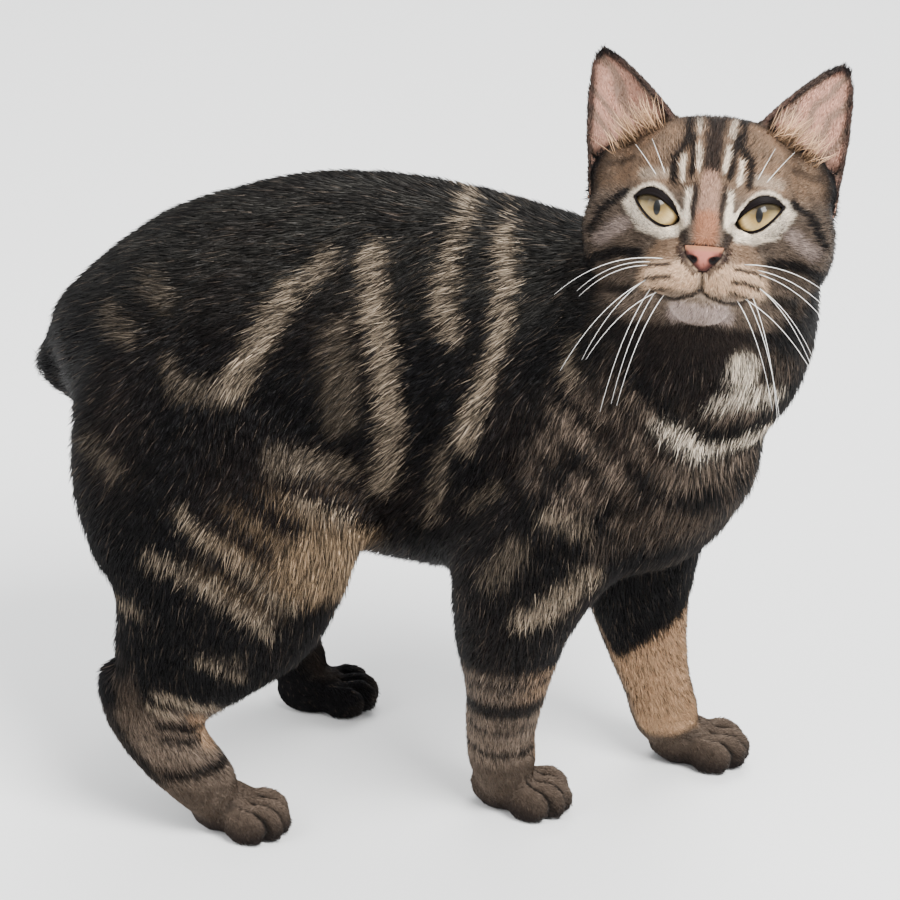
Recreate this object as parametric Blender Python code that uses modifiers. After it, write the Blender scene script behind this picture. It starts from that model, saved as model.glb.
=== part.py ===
"""A life-size manx cat that stands and looks to its right, as separate closed solids.

Metres, +Z up. +X is the way the hind body faces, +Y is the cat's left, and the floor is at z 0.
The outer surface is that of the short dense coat. The body is modelled whole from lofts and
ellipsoids, fused and smoothed, and then parted into its named pieces by thin cuts.
"""

import math

import bmesh
import bpy
import numpy as np
from mathutils import Matrix, Vector

CM = 0.01
GAP = 0.0003
HERE = Matrix.Identity(4)

# Driving dimensions, in centimetres.
EYE_SPACING = 3.72
EYE_RADIUS = 1.0
EYE_FORWARD = 1.65
CORNEA = (0.52, 0.08)
SOCKET_ROOM = 0.045
EYE_OUTWARD = 4.0
LID_RADIUS = 1.15
EAR_WALL = 0.17
PAW_LENGTH = 4.3
PAW_WIDTH = 2.95
PAW_HEIGHT = 2.0
SOLE_DEPTH = 0.1

# The head's place and its turn from the way the hind body faces, in centimetres and degrees.
HEAD_CENTRE = (10.9, -5.2, 27.62)
HEAD_TURN = -91.0
HEAD_PITCH = 23.0
HEAD_ROLL = 2.3

# The fineness of the fused form, its smoothing passes, and its triangles on body and face.
BODY_VOXEL = 0.0026
BODY_SMOOTHING = 28
VOXEL = 0.0012
SMOOTHING = 12
BODY_TRIANGLES = 4600
FACE_TRIANGLES = 2400

# Each row of a loft is the centre x, y, z, the half width, and the half depths on both sides.
TORSO = [
    (-14.3, 0.8, 17.8, 2.6, 2.6, 3.2),
    (-13.1, 0.8, 18.3, 4.4, 3.8, 5.2),
    (-11.1, 0.8, 18.7, 5.4, 5.2, 6.4),
    (-8.6, 0.8, 19.0, 5.9, 6.4, 7.2),
    (-5.6, 0.7, 19.0, 6.1, 7.4, 7.6),
    (-2.5, 0.5, 18.9, 6.1, 7.8, 8.0),
    (0.6, 0.2, 18.6, 5.9, 7.8, 8.2),
    (3.6, -0.4, 18.3, 5.7, 7.6, 8.1),
    (6.5, -1.4, 18.0, 5.5, 7.3, 7.7),
    (8.8, -2.7, 17.9, 5.1, 6.4, 6.2),
    (10.5, -3.9, 18.4, 4.2, 5.0, 4.4),
    (11.8, -4.8, 18.9, 2.6, 3.0, 2.8),
]
NECK = [
    (6.6, -1.3, 18.6, 4.4, 4.6, 4.6),
    (8.2, -2.2, 20.4, 5.0, 5.6, 5.2),
    (9.6, -3.2, 22.4, 4.9, 5.7, 5.0),
    (10.6, -3.8, 24.6, 4.6, 4.9, 4.4),
    (11.0, -4.0, 26.8, 3.7, 3.9, 3.8),
]
TAIL = [
    (-11.8, 0.8, 19.8, 2.2, 2.0, 2.2),
    (-13.5, 0.8, 18.9, 2.1, 1.9, 2.5),
    (-14.7, 0.8, 18.0, 1.7, 1.7, 2.2),
    (-15.4, 0.8, 17.3, 1.0, 1.2, 1.5),
]
FORELEG = {
    "right": [
        (6.6, -3.4, 20.6, 1.4, 1.8, 1.8),
        (6.6, -4.3, 18.6, 2.2, 3.1, 3.1),
        (5.6, -4.9, 15.4, 2.6, 3.5, 3.3),
        (4.2, -4.7, 12.4, 2.6, 3.1, 3.1),
        (3.5, -4.1, 9.6, 2.25, 2.5, 2.4),
        (3.2, -3.1, 6.6, 1.85, 1.95, 1.65),
        (3.0, -2.2, 4.0, 1.6, 1.6, 1.5),
        (3.1, -1.7, 2.4, 1.55, 1.5, 1.5),
        (3.4, -1.4, 1.2, 1.4, 1.2, 1.3),
    ],
    "left": [
        (9.2, -0.6, 20.0, 1.4, 1.8, 1.8),
        (9.6, 0.4, 18.0, 2.0, 2.9, 2.9),
        (9.3, 1.3, 14.8, 2.4, 3.2, 3.2),
        (8.6, 1.9, 11.8, 2.4, 2.8, 2.9),
        (8.4, 2.4, 8.8, 2.05, 2.35, 2.5),
        (8.7, 2.8, 5.9, 1.7, 1.85, 1.9),
        (9.25, 3.0, 3.7, 1.55, 1.5, 1.6),
        (9.6, 3.1, 2.4, 1.5, 1.5, 1.6),
        (10.0, 3.1, 1.2, 1.4, 1.2, 1.4),
    ],
}
# The hind leg is drawn for the right side, and its lower end moves with the foot.
THIGH = [
    (-9.6, -1.4, 21.6, 1.6, 2.4, 2.4),
    (-9.8, -2.6, 19.8, 2.7, 4.2, 3.8),
    (-9.1, -3.7, 16.6, 3.2, 5.4, 5.0),
    (-8.2, -4.6, 13.4, 3.1, 6.2, 5.0),
    (-8.2, -5.0, 10.9, 2.6, 5.0, 4.6),
    (-9.3, -5.0, 8.8, 2.0, 3.6, 3.7),
    (-10.9, -4.9, 7.1, 1.6, 2.9, 2.1),
]
HOCK = [
    (-11.9, -4.8, 7.9, 1.3, 1.6, 1.1),
    (-11.5, -4.8, 6.0, 1.45, 2.3, 1.5),
    (-10.4, -4.7, 4.0, 1.45, 2.0, 1.5),
    (-9.1, -4.5, 2.4, 1.5, 1.7, 1.3),
    (-8.2, -4.3, 1.2, 1.4, 1.2, 1.0),
]
HIP_HEIGHT = 20.2
HIP_Y = 0.8
HOCK_HEIGHT = 7.0
# Each foot's middle, x and y, and the way it points, in degrees from +X.
FEET = {
    "fore_right": (3.65, -1.35, -22.0),
    "fore_left": (10.8, 3.25, -14.0),
    "hind_right": (-7.6, -4.2, -22.0),
    "hind_left": (-5.3, 6.5, 0.0),
}
RIGHT_HIND_FOOT = FEET["hind_right"]

# The head's ellipsoids in its own frame: to the cat's right, forward, up, and their radii.
HEAD_MIDDLE = [
    ((0.0, -0.7, 0.8), (3.8, 3.5, 2.9)),
    ((0.0, -0.5, -1.1), (4.1, 3.1, 2.8)),
    ((0.0, 2.1, -2.15), (2.1, 1.8, 1.55)),
    ((0.0, 2.65, -3.5), (1.2, 1.0, 0.8)),
    ((0.0, 3.5, -1.8), (0.72, 0.62, 0.5)),
    ((0.0, 0.6, -2.7), (2.6, 2.3, 1.5)),
]
HEAD_PAIRS = [
    ((2.65, -0.4, -0.9), (2.15, 2.4, 2.5)),
    ((1.75, 1.25, 0.3), (1.65, 1.35, 1.35)),
    ((0.95, 2.9, -2.6), (1.2, 1.1, 0.9)),
    ((3.05, -0.9, 0.9), (1.55, 1.6, 1.8)),
]
BRIDGE = [
    (0.0, 1.3, 1.6, 1.7, 0.8, 1.2),
    (0.0, 2.25, 0.45, 1.15, 0.65, 1.2),
    (0.0, 2.95, -0.6, 0.86, 0.52, 1.2),
    (0.0, 3.5, -1.5, 0.72, 0.45, 1.0),
]
# The corners of the right eye's opening, sideways and up, and its two lids' heights.
EYE_CORNERS = ((0.98, -0.5), (2.68, 0.25))
LID_HEIGHTS = (0.6, 0.52)
# The right ear's base, tip, and the way from its inner to its outer edge, in the head's frame.
EAR_BASE = (2.95, -0.7, 2.2)
EAR_TIP = (4.6, -0.9, 5.85)
EAR_SIDE = (0.82, -0.3, -0.52)
EAR_WIDTH = 1.88
EAR_DEPTH = 0.95
# The right half of the mouth's line from the middle to the corner, and the line to the nose.
MOUTH = [
    (0.0, 4.2, -3.0),
    (0.35, 4.1, -3.22),
    (0.9, 3.8, -3.38),
    (1.45, 3.3, -3.3),
    (1.85, 2.7, -3.1),
]
PHILTRUM = [(0.0, 4.2, -2.15), (0.0, 4.2, -2.6), (0.0, 4.2, -3.08)]


def rgba(red, green, blue):
    return (red, green, blue, 1.0)


MATERIALS = {
    "black_coat": (rgba(0.012, 0.011, 0.013), 0.75),
    "tabby_coat": (rgba(0.06, 0.048, 0.038), 0.75),
    "ear_coat": (rgba(0.22, 0.13, 0.1), 0.75),
    "nose_leather": (rgba(0.35, 0.13, 0.1), 0.5),
    "eye": (rgba(0.45, 0.4, 0.16), 0.08),
}
MATERIAL_OF = {
    "torso": "black_coat",
    "tail": "black_coat",
    "thigh_left": "black_coat",
    "thigh_right": "black_coat",
    "paw_hind_left": "black_coat",
    "ear_left": "ear_coat",
    "ear_right": "ear_coat",
    "nose": "nose_leather",
    "eye_left": "eye",
    "eye_right": "eye",
}


def clear_scene():
    for obj in list(bpy.data.objects):
        bpy.data.objects.remove(obj, do_unlink=True)


def collection(name, rendered=True):
    made = bpy.data.collections.new(name)
    made.hide_render = not rendered
    bpy.context.scene.collection.children.link(made)
    return made


def head_frame():
    """The head's own frame in the world: x to the cat's right, y forward, z up."""
    turn, pitch, roll = (math.radians(a) for a in (HEAD_TURN, HEAD_PITCH, HEAD_ROLL))
    flat = math.cos(pitch)
    forward = Vector((math.cos(turn) * flat, math.sin(turn) * flat, math.sin(pitch)))
    right = forward.cross(Vector((0, 0, 1))).normalized()
    turned = Matrix.Rotation(-roll, 3, forward)
    right = turned @ right
    above = right.cross(forward)
    frame = Matrix((right, forward, above)).transposed().to_4x4()
    frame.translation = Vector(HEAD_CENTRE) * CM
    return frame


HEAD = head_frame()


def smooth_rows(rows, per_span):
    """Rows on a Catmull-Rom curve through the given rows, per_span to each stretch."""
    rows = np.array(rows, float)
    padded = np.vstack([2 * rows[0] - rows[1], rows, 2 * rows[-1] - rows[-2]])
    made = []
    for i in range(len(rows) - 1):
        a, b, c, d = padded[i : i + 4]
        slope, bend, twist = c - a, 2 * a - 5 * b + 4 * c - d, 3 * b - a - 3 * c + d
        for t in np.arange(per_span) / per_span:
            made.append(b + 0.5 * (slope * t + bend * t**2 + twist * t**3))
    made.append(rows[-1])
    return np.array(made)


def add_loft(bm, rows, hint, frame=HERE, sides=28, per_span=4, grow=0.0):
    """A closed tube along the rows. Its first half depth is on the side that hint points to."""
    rows = smooth_rows(rows, per_span)
    centres = rows[:, :3]
    tangents = np.gradient(centres, axis=0)
    rings = []
    for centre, tangent, sizes in zip(centres, tangents, rows[:, 3:]):
        along = Vector(tangent).normalized()
        side = along.cross(Vector(hint)).normalized()
        toward = side.cross(along)
        ring = []
        for k in range(sides):
            angle = 2 * math.pi * k / sides
            depth = sizes[1] if math.sin(angle) > 0 else sizes[2]
            offset = side * (math.cos(angle) * (sizes[0] + grow))
            offset += toward * (math.sin(angle) * (depth + grow))
            ring.append(bm.verts.new(frame @ ((Vector(centre) + offset) * CM)))
        rings.append(ring)
    for first, second in zip(rings, rings[1:]):
        for k in range(sides):
            n = (k + 1) % sides
            bm.faces.new((first[k], first[n], second[n], second[k]))
    bm.faces.new(rings[0][::-1])
    bm.faces.new(rings[-1])


def add_ellipsoid(bm, centre, radii, frame=HERE, turn=0.0, segments=32):
    place = Matrix.Translation(Vector(centre) * CM) @ Matrix.Rotation(turn, 4, "Z")
    size = Matrix.Diagonal((*(r * CM for r in radii), 1.0))
    bmesh.ops.create_uvsphere(
        bm,
        u_segments=segments,
        v_segments=segments // 2,
        radius=1.0,
        matrix=frame @ place @ size,
    )


def object_of(bm, name, where):
    bmesh.ops.recalc_face_normals(bm, faces=bm.faces)
    mesh = bpy.data.meshes.new(name)
    bm.to_mesh(mesh)
    bm.free()
    obj = bpy.data.objects.new(name, mesh)
    where.objects.link(obj)
    return obj


def apply_modifiers(obj):
    """Replaces the object's mesh with what its modifiers make of it."""
    graph = bpy.context.evaluated_depsgraph_get()
    graph.update()
    made = bpy.data.meshes.new_from_object(obj.evaluated_get(graph))
    obj.modifiers.clear()
    old = obj.data
    obj.data = made
    bpy.data.meshes.remove(old)
    return obj


def boolean(obj, other, operation):
    modifier = obj.modifiers.new(operation.title(), "BOOLEAN")
    modifier.object = other
    modifier.operation = operation
    modifier.solver = "EXACT"
    return apply_modifiers(obj)


def keep_largest(obj):
    """Keeps only the object's largest connected surface."""
    bm = bmesh.new()
    bm.from_mesh(obj.data)
    unseen = set(bm.verts)
    islands = []
    while unseen:
        island, edge_of_search = set(), [unseen.pop()]
        while edge_of_search:
            vert = edge_of_search.pop()
            island.add(vert)
            for edge in vert.link_edges:
                other = edge.other_vert(vert)
                if other in unseen:
                    unseen.discard(other)
                    edge_of_search.append(other)
        islands.append(island)
    islands.sort(key=len)
    for island in islands[:-1]:
        bmesh.ops.delete(bm, geom=list(island), context="VERTS")
    bm.to_mesh(obj.data)
    bm.free()
    return obj


def copy_of(obj, name, where):
    made = bpy.data.objects.new(name, obj.data.copy())
    where.objects.link(made)
    return made


def foot_move(side, height):
    """How far the hind leg at this height moves from the drawn right leg, for the foot's place."""
    share = min(1.0, (HIP_HEIGHT - height) / (HIP_HEIGHT - HOCK_HEIGHT))
    if side == "right":
        return 0.0, 0.0
    x, y, _ = FEET["hind_left"]
    mirrored = 2 * HIP_Y - RIGHT_HIND_FOOT[1]
    return (x - RIGHT_HIND_FOOT[0]) * share, (y - mirrored) * share


def hind_rows(rows, side):
    made = []
    for x, y, z, *sizes in rows:
        dx, dy = foot_move(side, z)
        across = y if side == "right" else 2 * HIP_Y - y
        made.append((x + dx, across + dy, z, *sizes))
    return made


def add_paw(bm, name):
    """A paw: the palm and four toes, pressed a little below the floor for a flat sole."""
    x, y, degrees = FEET[name]
    turn = math.radians(degrees)
    place = Matrix.Translation(Vector((x, y, -SOLE_DEPTH)) * CM)
    frame = place @ Matrix.Rotation(turn, 4, "Z")
    half_length, half_width = PAW_LENGTH / 2, PAW_WIDTH / 2
    palm = (half_length * 0.72, half_width * 0.9, PAW_HEIGHT * 0.55)
    add_ellipsoid(bm, (-0.5, 0.0, PAW_HEIGHT * 0.5), palm, frame)
    for lane, reach in ((-1.5, 0.58), (-0.5, 0.82), (0.5, 0.82), (1.5, 0.58)):
        toe = (half_length * reach - 0.25, lane * half_width * 0.46, PAW_HEIGHT * 0.42)
        add_ellipsoid(bm, toe, (1.0, half_width * 0.33, PAW_HEIGHT * 0.46), frame)


def add_head(bm):
    for centre, radii in HEAD_MIDDLE:
        add_ellipsoid(bm, centre, radii, HEAD)
    for side in (-1, 1):
        for (x, y, z), radii in HEAD_PAIRS:
            add_ellipsoid(bm, (side * x, y, z), radii, HEAD)
        eye = (side * EYE_SPACING / 2, EYE_FORWARD, 0.0)
        add_ellipsoid(bm, eye, (LID_RADIUS,) * 3, HEAD)
    add_loft(bm, BRIDGE, (0, 0, 1), HEAD)


def add_box(bm, low, high, frame=HERE):
    low, high = Vector(low) * CM, Vector(high) * CM
    place = Matrix.Translation((low + high) / 2) @ Matrix.Diagonal((*(high - low), 1.0))
    bmesh.ops.create_cube(bm, size=1.0, matrix=frame @ place)


def fuse(obj, voxel, passes):
    """Fuses the object's shapes into one skin and smooths it."""
    remesh = obj.modifiers.new("Fuse", "REMESH")
    remesh.mode = "VOXEL"
    remesh.voxel_size = voxel
    smooth = obj.modifiers.new("Smooth", "SMOOTH")
    smooth.iterations = passes
    smooth.factor = 0.6
    return apply_modifiers(obj)


def make_form(where):
    """The whole animal but for its ears and eyes, fused and smoothed."""
    bm = bmesh.new()
    add_loft(bm, TORSO, (0, 0, 1))
    add_loft(bm, NECK, (1, 0, 0))
    add_loft(bm, TAIL, (0, 0, 1))
    for side in ("right", "left"):
        add_loft(bm, FORELEG[side], (1, 0, 0))
        add_loft(bm, hind_rows(THIGH, side), (1, 0, 0))
        add_loft(bm, hind_rows(HOCK, side), (1, 0, 0))
    body = fuse(object_of(bm, "body", where), BODY_VOXEL, BODY_SMOOTHING)
    bm = bmesh.new()
    for name in FEET:
        add_paw(bm, name)
    add_head(bm)
    form = object_of(bm, "form", where)
    join(form, body)
    return fuse(form, VOXEL, SMOOTHING)


def join(obj, other):
    """Adds the other object's mesh to the object and removes the other."""
    bm = bmesh.new()
    bm.from_mesh(other.data)
    bm.from_mesh(obj.data)
    bm.to_mesh(obj.data)
    bm.free()
    bpy.data.objects.remove(other)


def on_face(point):
    local = HEAD.inverted() @ point / CM
    return (local - Vector((0.0, 2.6, -1.3))).length < 3.9


def thin(form, is_chosen, triangles):
    """Thins the chosen region of the form to about this many triangles, and leaves the rest."""
    chosen = {v.index for v in form.data.vertices if is_chosen(v.co)}
    group = form.vertex_groups.new(name="chosen")
    group.add(list(chosen), 1.0, "REPLACE")
    form.data.calc_loop_triangles()
    total = len(form.data.loop_triangles)
    inside = sum(1 for t in form.data.loop_triangles if chosen.issuperset(t.vertices))
    modifier = form.modifiers.new("Thin", "DECIMATE")
    modifier.ratio = (total - inside + triangles) / total
    modifier.vertex_group = group.name
    apply_modifiers(form)
    form.vertex_groups.clear()


def cut_floor(form):
    """Cuts the form off at the floor, which leaves the flat soles."""
    bm = bmesh.new()
    bm.from_mesh(form.data)
    geometry = bm.verts[:] + bm.edges[:] + bm.faces[:]
    plane = {"plane_co": (0, 0, 0), "plane_no": (0, 0, 1)}
    cut = bmesh.ops.bisect_plane(bm, geom=geometry, dist=1e-7, clear_inner=True, **plane)
    edges = [e for e in cut["geom_cut"] if isinstance(e, bmesh.types.BMEdge)]
    bmesh.ops.edgeloop_fill(bm, edges=edges)
    bm.to_mesh(form.data)
    bm.free()


def cutter(draw, grow=0.0):
    """An object of what draw adds to a mesh, grown outwards by a distance."""
    bm = bmesh.new()
    draw(bm)
    bmesh.ops.triangulate(bm, faces=bm.faces)
    bmesh.ops.recalc_face_normals(bm, faces=bm.faces)
    bm.normal_update()
    moves = [(v, v.normal * v.calc_shell_factor() * grow) for v in bm.verts]
    for vert, move in moves:
        vert.co += move
    return object_of(bm, "cutter", bpy.data.collections["cutters"])


def carve(form, draw):
    tool = cutter(draw)
    boolean(form, tool, "DIFFERENCE")
    bpy.data.objects.remove(tool)


def part_off(rest, name, draw, where):
    """Makes a node of what lies in the drawn shape, and leaves the rest a thin gap away."""
    piece = copy_of(rest, name, where)
    for obj, grow, operation in ((piece, 0.0, "INTERSECT"), (rest, GAP, "DIFFERENCE")):
        tool = cutter(draw, grow)
        boolean(obj, tool, operation)
        keep_largest(obj)
        bpy.data.objects.remove(tool)
    return piece


def draw_sockets(bm):
    """Round sockets a little larger than the eyes."""
    for side in (-1, 1):
        centre = (side * EYE_SPACING / 2, EYE_FORWARD, 0.0)
        add_ellipsoid(bm, centre, (EYE_RADIUS + SOCKET_ROOM,) * 3, HEAD, segments=24)


def draw_lid_openings(bm):
    """Almond openings with their corners at the lids' ends."""
    steps = 11
    for side in (-1, 1):
        inner, outer = (Vector((side * x, 0.0, z)) for x, z in EYE_CORNERS)
        rims = []
        for forward in (EYE_FORWARD + 0.2, 4.6):
            rim = []
            for k in range(2 * steps):
                share = k / steps if k < steps else 2 - k / steps
                height = math.sin(math.pi * share) ** 0.8
                height *= LID_HEIGHTS[0] if k < steps else -LID_HEIGHTS[1]
                point = inner.lerp(outer, share) + Vector((0, forward, height))
                rim.append(bm.verts.new(HEAD @ (point * CM)))
            rims.append(rim)
        for k in range(2 * steps):
            n = (k + 1) % (2 * steps)
            bm.faces.new((rims[0][k], rims[0][n], rims[1][n], rims[1][k]))
        bm.faces.new(rims[0][::-1])
        bm.faces.new(rims[1])


def groove_rows(form, points):
    """Rows of a thin round tube that lies along the points, on the form's surface."""
    rows = []
    for x, y, z in points:
        point = HEAD @ (Vector((x, y, z)) * CM)
        _, spot, normal, _ = form.closest_point_on_mesh(point)
        spot = (spot - normal * 0.0001) / CM
        size = 0.055 if abs(x) < 1.5 else 0.03
        rows.append((*spot, size, size, size))
    return rows


def carve_mouth(form):
    left = [(-x, y, z) for x, y, z in MOUTH[:0:-1]]
    for points in (left + MOUTH, PHILTRUM):
        rows = groove_rows(form, points)
        carve(form, lambda bm: add_loft(bm, rows, (0.1, 0.9, 0.3), sides=8, per_span=3))


def draw_nose(bm):
    """The shape that takes in the nose leather: a wide top that narrows to the lip."""
    half = [(0.72, -1.42), (0.6, -1.85), (0.12, -2.32)]
    outline = half + [(-x, z) for x, z in reversed(half)]
    rims = []
    for forward in (3.3, 5.2):
        rims.append([bm.verts.new(HEAD @ (Vector((x, forward, z)) * CM)) for x, z in outline])
    for k in range(len(outline)):
        n = (k + 1) % len(outline)
        bm.faces.new((rims[0][k], rims[0][n], rims[1][n], rims[1][k]))
    bm.faces.new(rims[0][::-1])
    bm.faces.new(rims[1])


def draw_nostrils(bm):
    for side in (-1, 1):
        add_ellipsoid(bm, (side * 0.4, 4.1, -1.88), (0.2, 0.3, 0.1), HEAD, segments=12)


def plane_frame(point, normal):
    """A frame with its origin at the point and its z along the normal."""
    frame = Vector(normal).to_track_quat("Z", "Y").to_matrix().to_4x4()
    frame.translation = Vector(point) * CM
    return frame


def draw_above(point, normal, reach=9.0, height=14.0):
    """A function that draws the box above a plane through the point."""
    frame = plane_frame(point, normal)
    return lambda bm: add_box(bm, (-reach, -reach, 0), (reach, reach, height), frame)


def draw_paw_box(name):
    x, y, degrees = FEET[name]
    turned = Matrix.Rotation(math.radians(degrees), 4, "Z")
    frame = Matrix.Translation(Vector((x, y, 0)) * CM) @ turned
    return lambda bm: add_box(bm, (-2.9, -2.4, -1), (3.2, 2.4, 2.35), frame)


def draw_tube(rows, hint, grow=0.5):
    return lambda bm: add_loft(bm, rows, hint, sides=16, per_span=1, grow=grow)


def part_body(form, where):
    """Parts the body into its named nodes. What stays is the torso."""
    for name in FEET:
        part_off(form, f"paw_{name}", draw_paw_box(name), where)
    for side in ("right", "left"):
        hock = hind_rows(HOCK, side)
        thigh = hind_rows(THIGH, side)
        part_off(form, f"hock_{side}", draw_tube(hock, (1, 0, 0), 0.3), where)
        part_off(form, f"thigh_{side}", draw_tube(thigh, (1, 0, 0)), where)
        part_off(form, f"foreleg_{side}", draw_tube(FORELEG[side], (1, 0, 0)), where)
    part_off(form, "tail", draw_tube(TAIL, (0, 0, 1), 0.3), where)
    above_neck = draw_above((11.0, -4.3, 25.0), (0.05, -0.38, 0.92))
    head = part_off(form, "head", above_neck, where)
    part_off(form, "neck", draw_above((8.9, -2.9, 22.0), (0.6, -0.3, 0.74)), where)
    form.name = "torso"
    where.objects.link(form)
    bpy.data.collections["cutters"].objects.unlink(form)
    nose = part_off(head, "nose", draw_nose, where)
    carve(nose, draw_nostrils)
    return head


def add_ear(bm, side):
    """A thin cup that faces forwards and outwards, with its foot sunk in the head."""
    base, tip, across = (Vector((side * p[0], *p[1:])) for p in (EAR_BASE, EAR_TIP, EAR_SIDE))
    axis = tip - base
    across = (across - across.project(axis)).normalized()
    facing = axis.cross(across).normalized()
    if facing.y < 0:
        facing = -facing
    rings, turns = 10, 10
    walls = []
    for inset in (0.0, EAR_WALL):
        wall = []
        for i in range(rings):
            share = -0.28 + 1.28 * i / (rings - 1)
            left = max(0.0, 1 - share)
            width = EAR_WIDTH * left**0.8 * (1 + 0.16 * max(0.0, share)) + 0.16 - inset
            depth = EAR_DEPTH * left**0.7 + 0.14 - inset
            centre = base + axis * (share - (0.02 if inset and i == rings - 1 else 0.0))
            row = []
            for k in range(turns + 1):
                angle = math.pi * (-0.08 + 1.16 * k / turns)
                offset = across * (math.cos(angle) * max(width, 0.03))
                offset -= facing * (math.sin(angle) * max(depth, 0.02))
                row.append(bm.verts.new(HEAD @ ((centre + offset) * CM)))
            wall.append(row)
        walls.append(wall)
    outer, inner = walls
    for i in range(rings - 1):
        for k in range(turns):
            for w in walls:
                bm.faces.new((w[i][k], w[i][k + 1], w[i + 1][k + 1], w[i + 1][k]))
        for k in (0, turns):
            bm.faces.new((outer[i][k], outer[i + 1][k], inner[i + 1][k], inner[i][k]))
    for k in range(turns):
        for i in (0, rings - 1):
            bm.faces.new((outer[i][k], outer[i][k + 1], inner[i][k + 1], inner[i][k]))


def make_ears(head, where):
    for side, name in ((1, "right"), (-1, "left")):
        bm = bmesh.new()
        add_ear(bm, side)
        ear = object_of(bm, f"ear_{name}", where)
        tool = copy_of(head, "cutter", bpy.data.collections["cutters"])
        outward = [normal.vector.copy() for normal in head.data.vertex_normals]
        for vert, normal in zip(tool.data.vertices, outward):
            vert.co += normal * GAP
        boolean(ear, tool, "DIFFERENCE")
        keep_largest(ear)
        bpy.data.objects.remove(tool)


def make_eyes(where):
    """Round eyes with a raised clear dome in front."""
    for side, name in ((1, "right"), (-1, "left")):
        bm = bmesh.new()
        bmesh.ops.create_uvsphere(bm, u_segments=24, v_segments=14, radius=EYE_RADIUS)
        reach, rise = CORNEA
        for vert in bm.verts:
            off = vert.co.xy.length
            if vert.co.z > 0 and off < reach:
                vert.co.z += rise * (1 - (off / reach) ** 2)
        outward = math.radians(EYE_OUTWARD)
        look = Vector((side * math.sin(outward), math.cos(outward), 0.0))
        turn = look.to_track_quat("Z", "Y").to_matrix().to_4x4()
        centre = Matrix.Translation(Vector((side * EYE_SPACING / 2, EYE_FORWARD, 0.0)) * CM)
        bm.transform(HEAD @ centre @ turn @ Matrix.Diagonal((CM, CM, CM, 1)))
        object_of(bm, f"eye_{name}", where)


def paint(where):
    for obj in where.objects:
        kind = MATERIAL_OF.get(obj.name, "tabby_coat")
        colour, roughness = MATERIALS[kind]
        material = bpy.data.materials.new(f"{obj.name}_{kind}")
        material.use_nodes = True
        shader = material.node_tree.nodes["Principled BSDF"]
        shader.inputs["Base Color"].default_value = colour
        shader.inputs["Roughness"].default_value = roughness
        material.diffuse_color = colour
        obj.data.materials.clear()
        obj.data.materials.append(material)


def settle(where):
    """Moves the model so that the middle of its box's underside is the origin."""
    points = np.array([v.co for obj in where.objects for v in obj.data.vertices])
    low, high = points.min(axis=0), points.max(axis=0)
    move = Vector((*(-(low + high)[:2] / 2), -low[2]))
    root = bpy.data.objects.new("cat_on_the_floor", None)
    for obj in list(where.objects):
        obj.data.transform(Matrix.Translation(move))
        obj.data.shade_smooth()
        obj.data.set_sharp_from_angle(angle=math.radians(40))
        obj.parent = root
    where.objects.link(root)


def main():
    clear_scene()
    helpers = collection("cutters", rendered=False)
    cat = collection("manx_cat")
    form = make_form(helpers)
    thin(form, lambda p: not on_face(p), BODY_TRIANGLES)
    thin(form, on_face, FACE_TRIANGLES)
    cut_floor(form)
    carve(form, draw_lid_openings)
    carve(form, draw_sockets)
    carve_mouth(form)
    head = part_body(form, cat)
    make_ears(head, cat)
    make_eyes(cat)
    paint(cat)
    settle(cat)


main()
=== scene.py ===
"""The looks of a life-size manx cat: skin, short coat, eyes, nose, whiskers, floor and light.

Lengths named here are in centimetres, and the model's own frame is in metres. The head has a
frame of its own: x to the cat's right, y forward and z up, from a point between the ears.
"""

import math

import bmesh
import bpy
import numpy as np
from mathutils import Matrix, Vector
from mathutils.bvhtree import BVHTree


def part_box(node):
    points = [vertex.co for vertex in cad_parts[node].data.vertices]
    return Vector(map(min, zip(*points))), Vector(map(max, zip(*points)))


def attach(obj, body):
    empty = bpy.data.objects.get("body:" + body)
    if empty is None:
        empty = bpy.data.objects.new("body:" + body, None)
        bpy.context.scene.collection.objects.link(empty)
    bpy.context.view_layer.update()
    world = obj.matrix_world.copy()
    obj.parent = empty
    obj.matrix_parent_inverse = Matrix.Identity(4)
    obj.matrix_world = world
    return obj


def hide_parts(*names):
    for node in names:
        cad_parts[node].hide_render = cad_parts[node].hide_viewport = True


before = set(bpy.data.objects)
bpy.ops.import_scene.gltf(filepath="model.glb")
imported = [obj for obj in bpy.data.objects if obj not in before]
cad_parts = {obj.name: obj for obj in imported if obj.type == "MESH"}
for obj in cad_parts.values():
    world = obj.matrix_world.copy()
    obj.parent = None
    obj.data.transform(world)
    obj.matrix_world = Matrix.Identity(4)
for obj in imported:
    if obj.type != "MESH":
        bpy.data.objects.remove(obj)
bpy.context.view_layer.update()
CM = 0.01

# The camera stands a little to the right of square on, above the cat, with a long lens.
VIEW_AZIMUTH = 5.0
VIEW_ELEVATION = 24.0
LENS = 144.0
SENSOR = 36.0
IMAGE_WIDTH = 900
EYES_PIXEL = (709, 210)
EYES_DEPTH = 131.5

# The head's pitch, and how far its frame's middle lies behind the eyes' middle.
HEAD_PITCH = 23.0
EYE_FORWARD = 1.65
EYE_RADIUS = 1.0
EYE_CORNERS = ((0.98, -0.5), (2.68, 0.25))
LID_HEIGHTS = (0.6, 0.52)
LID_EDGES = (0.44, 0.51)
EYE_TILT = 6.0
IRIS = 0.86
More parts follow.
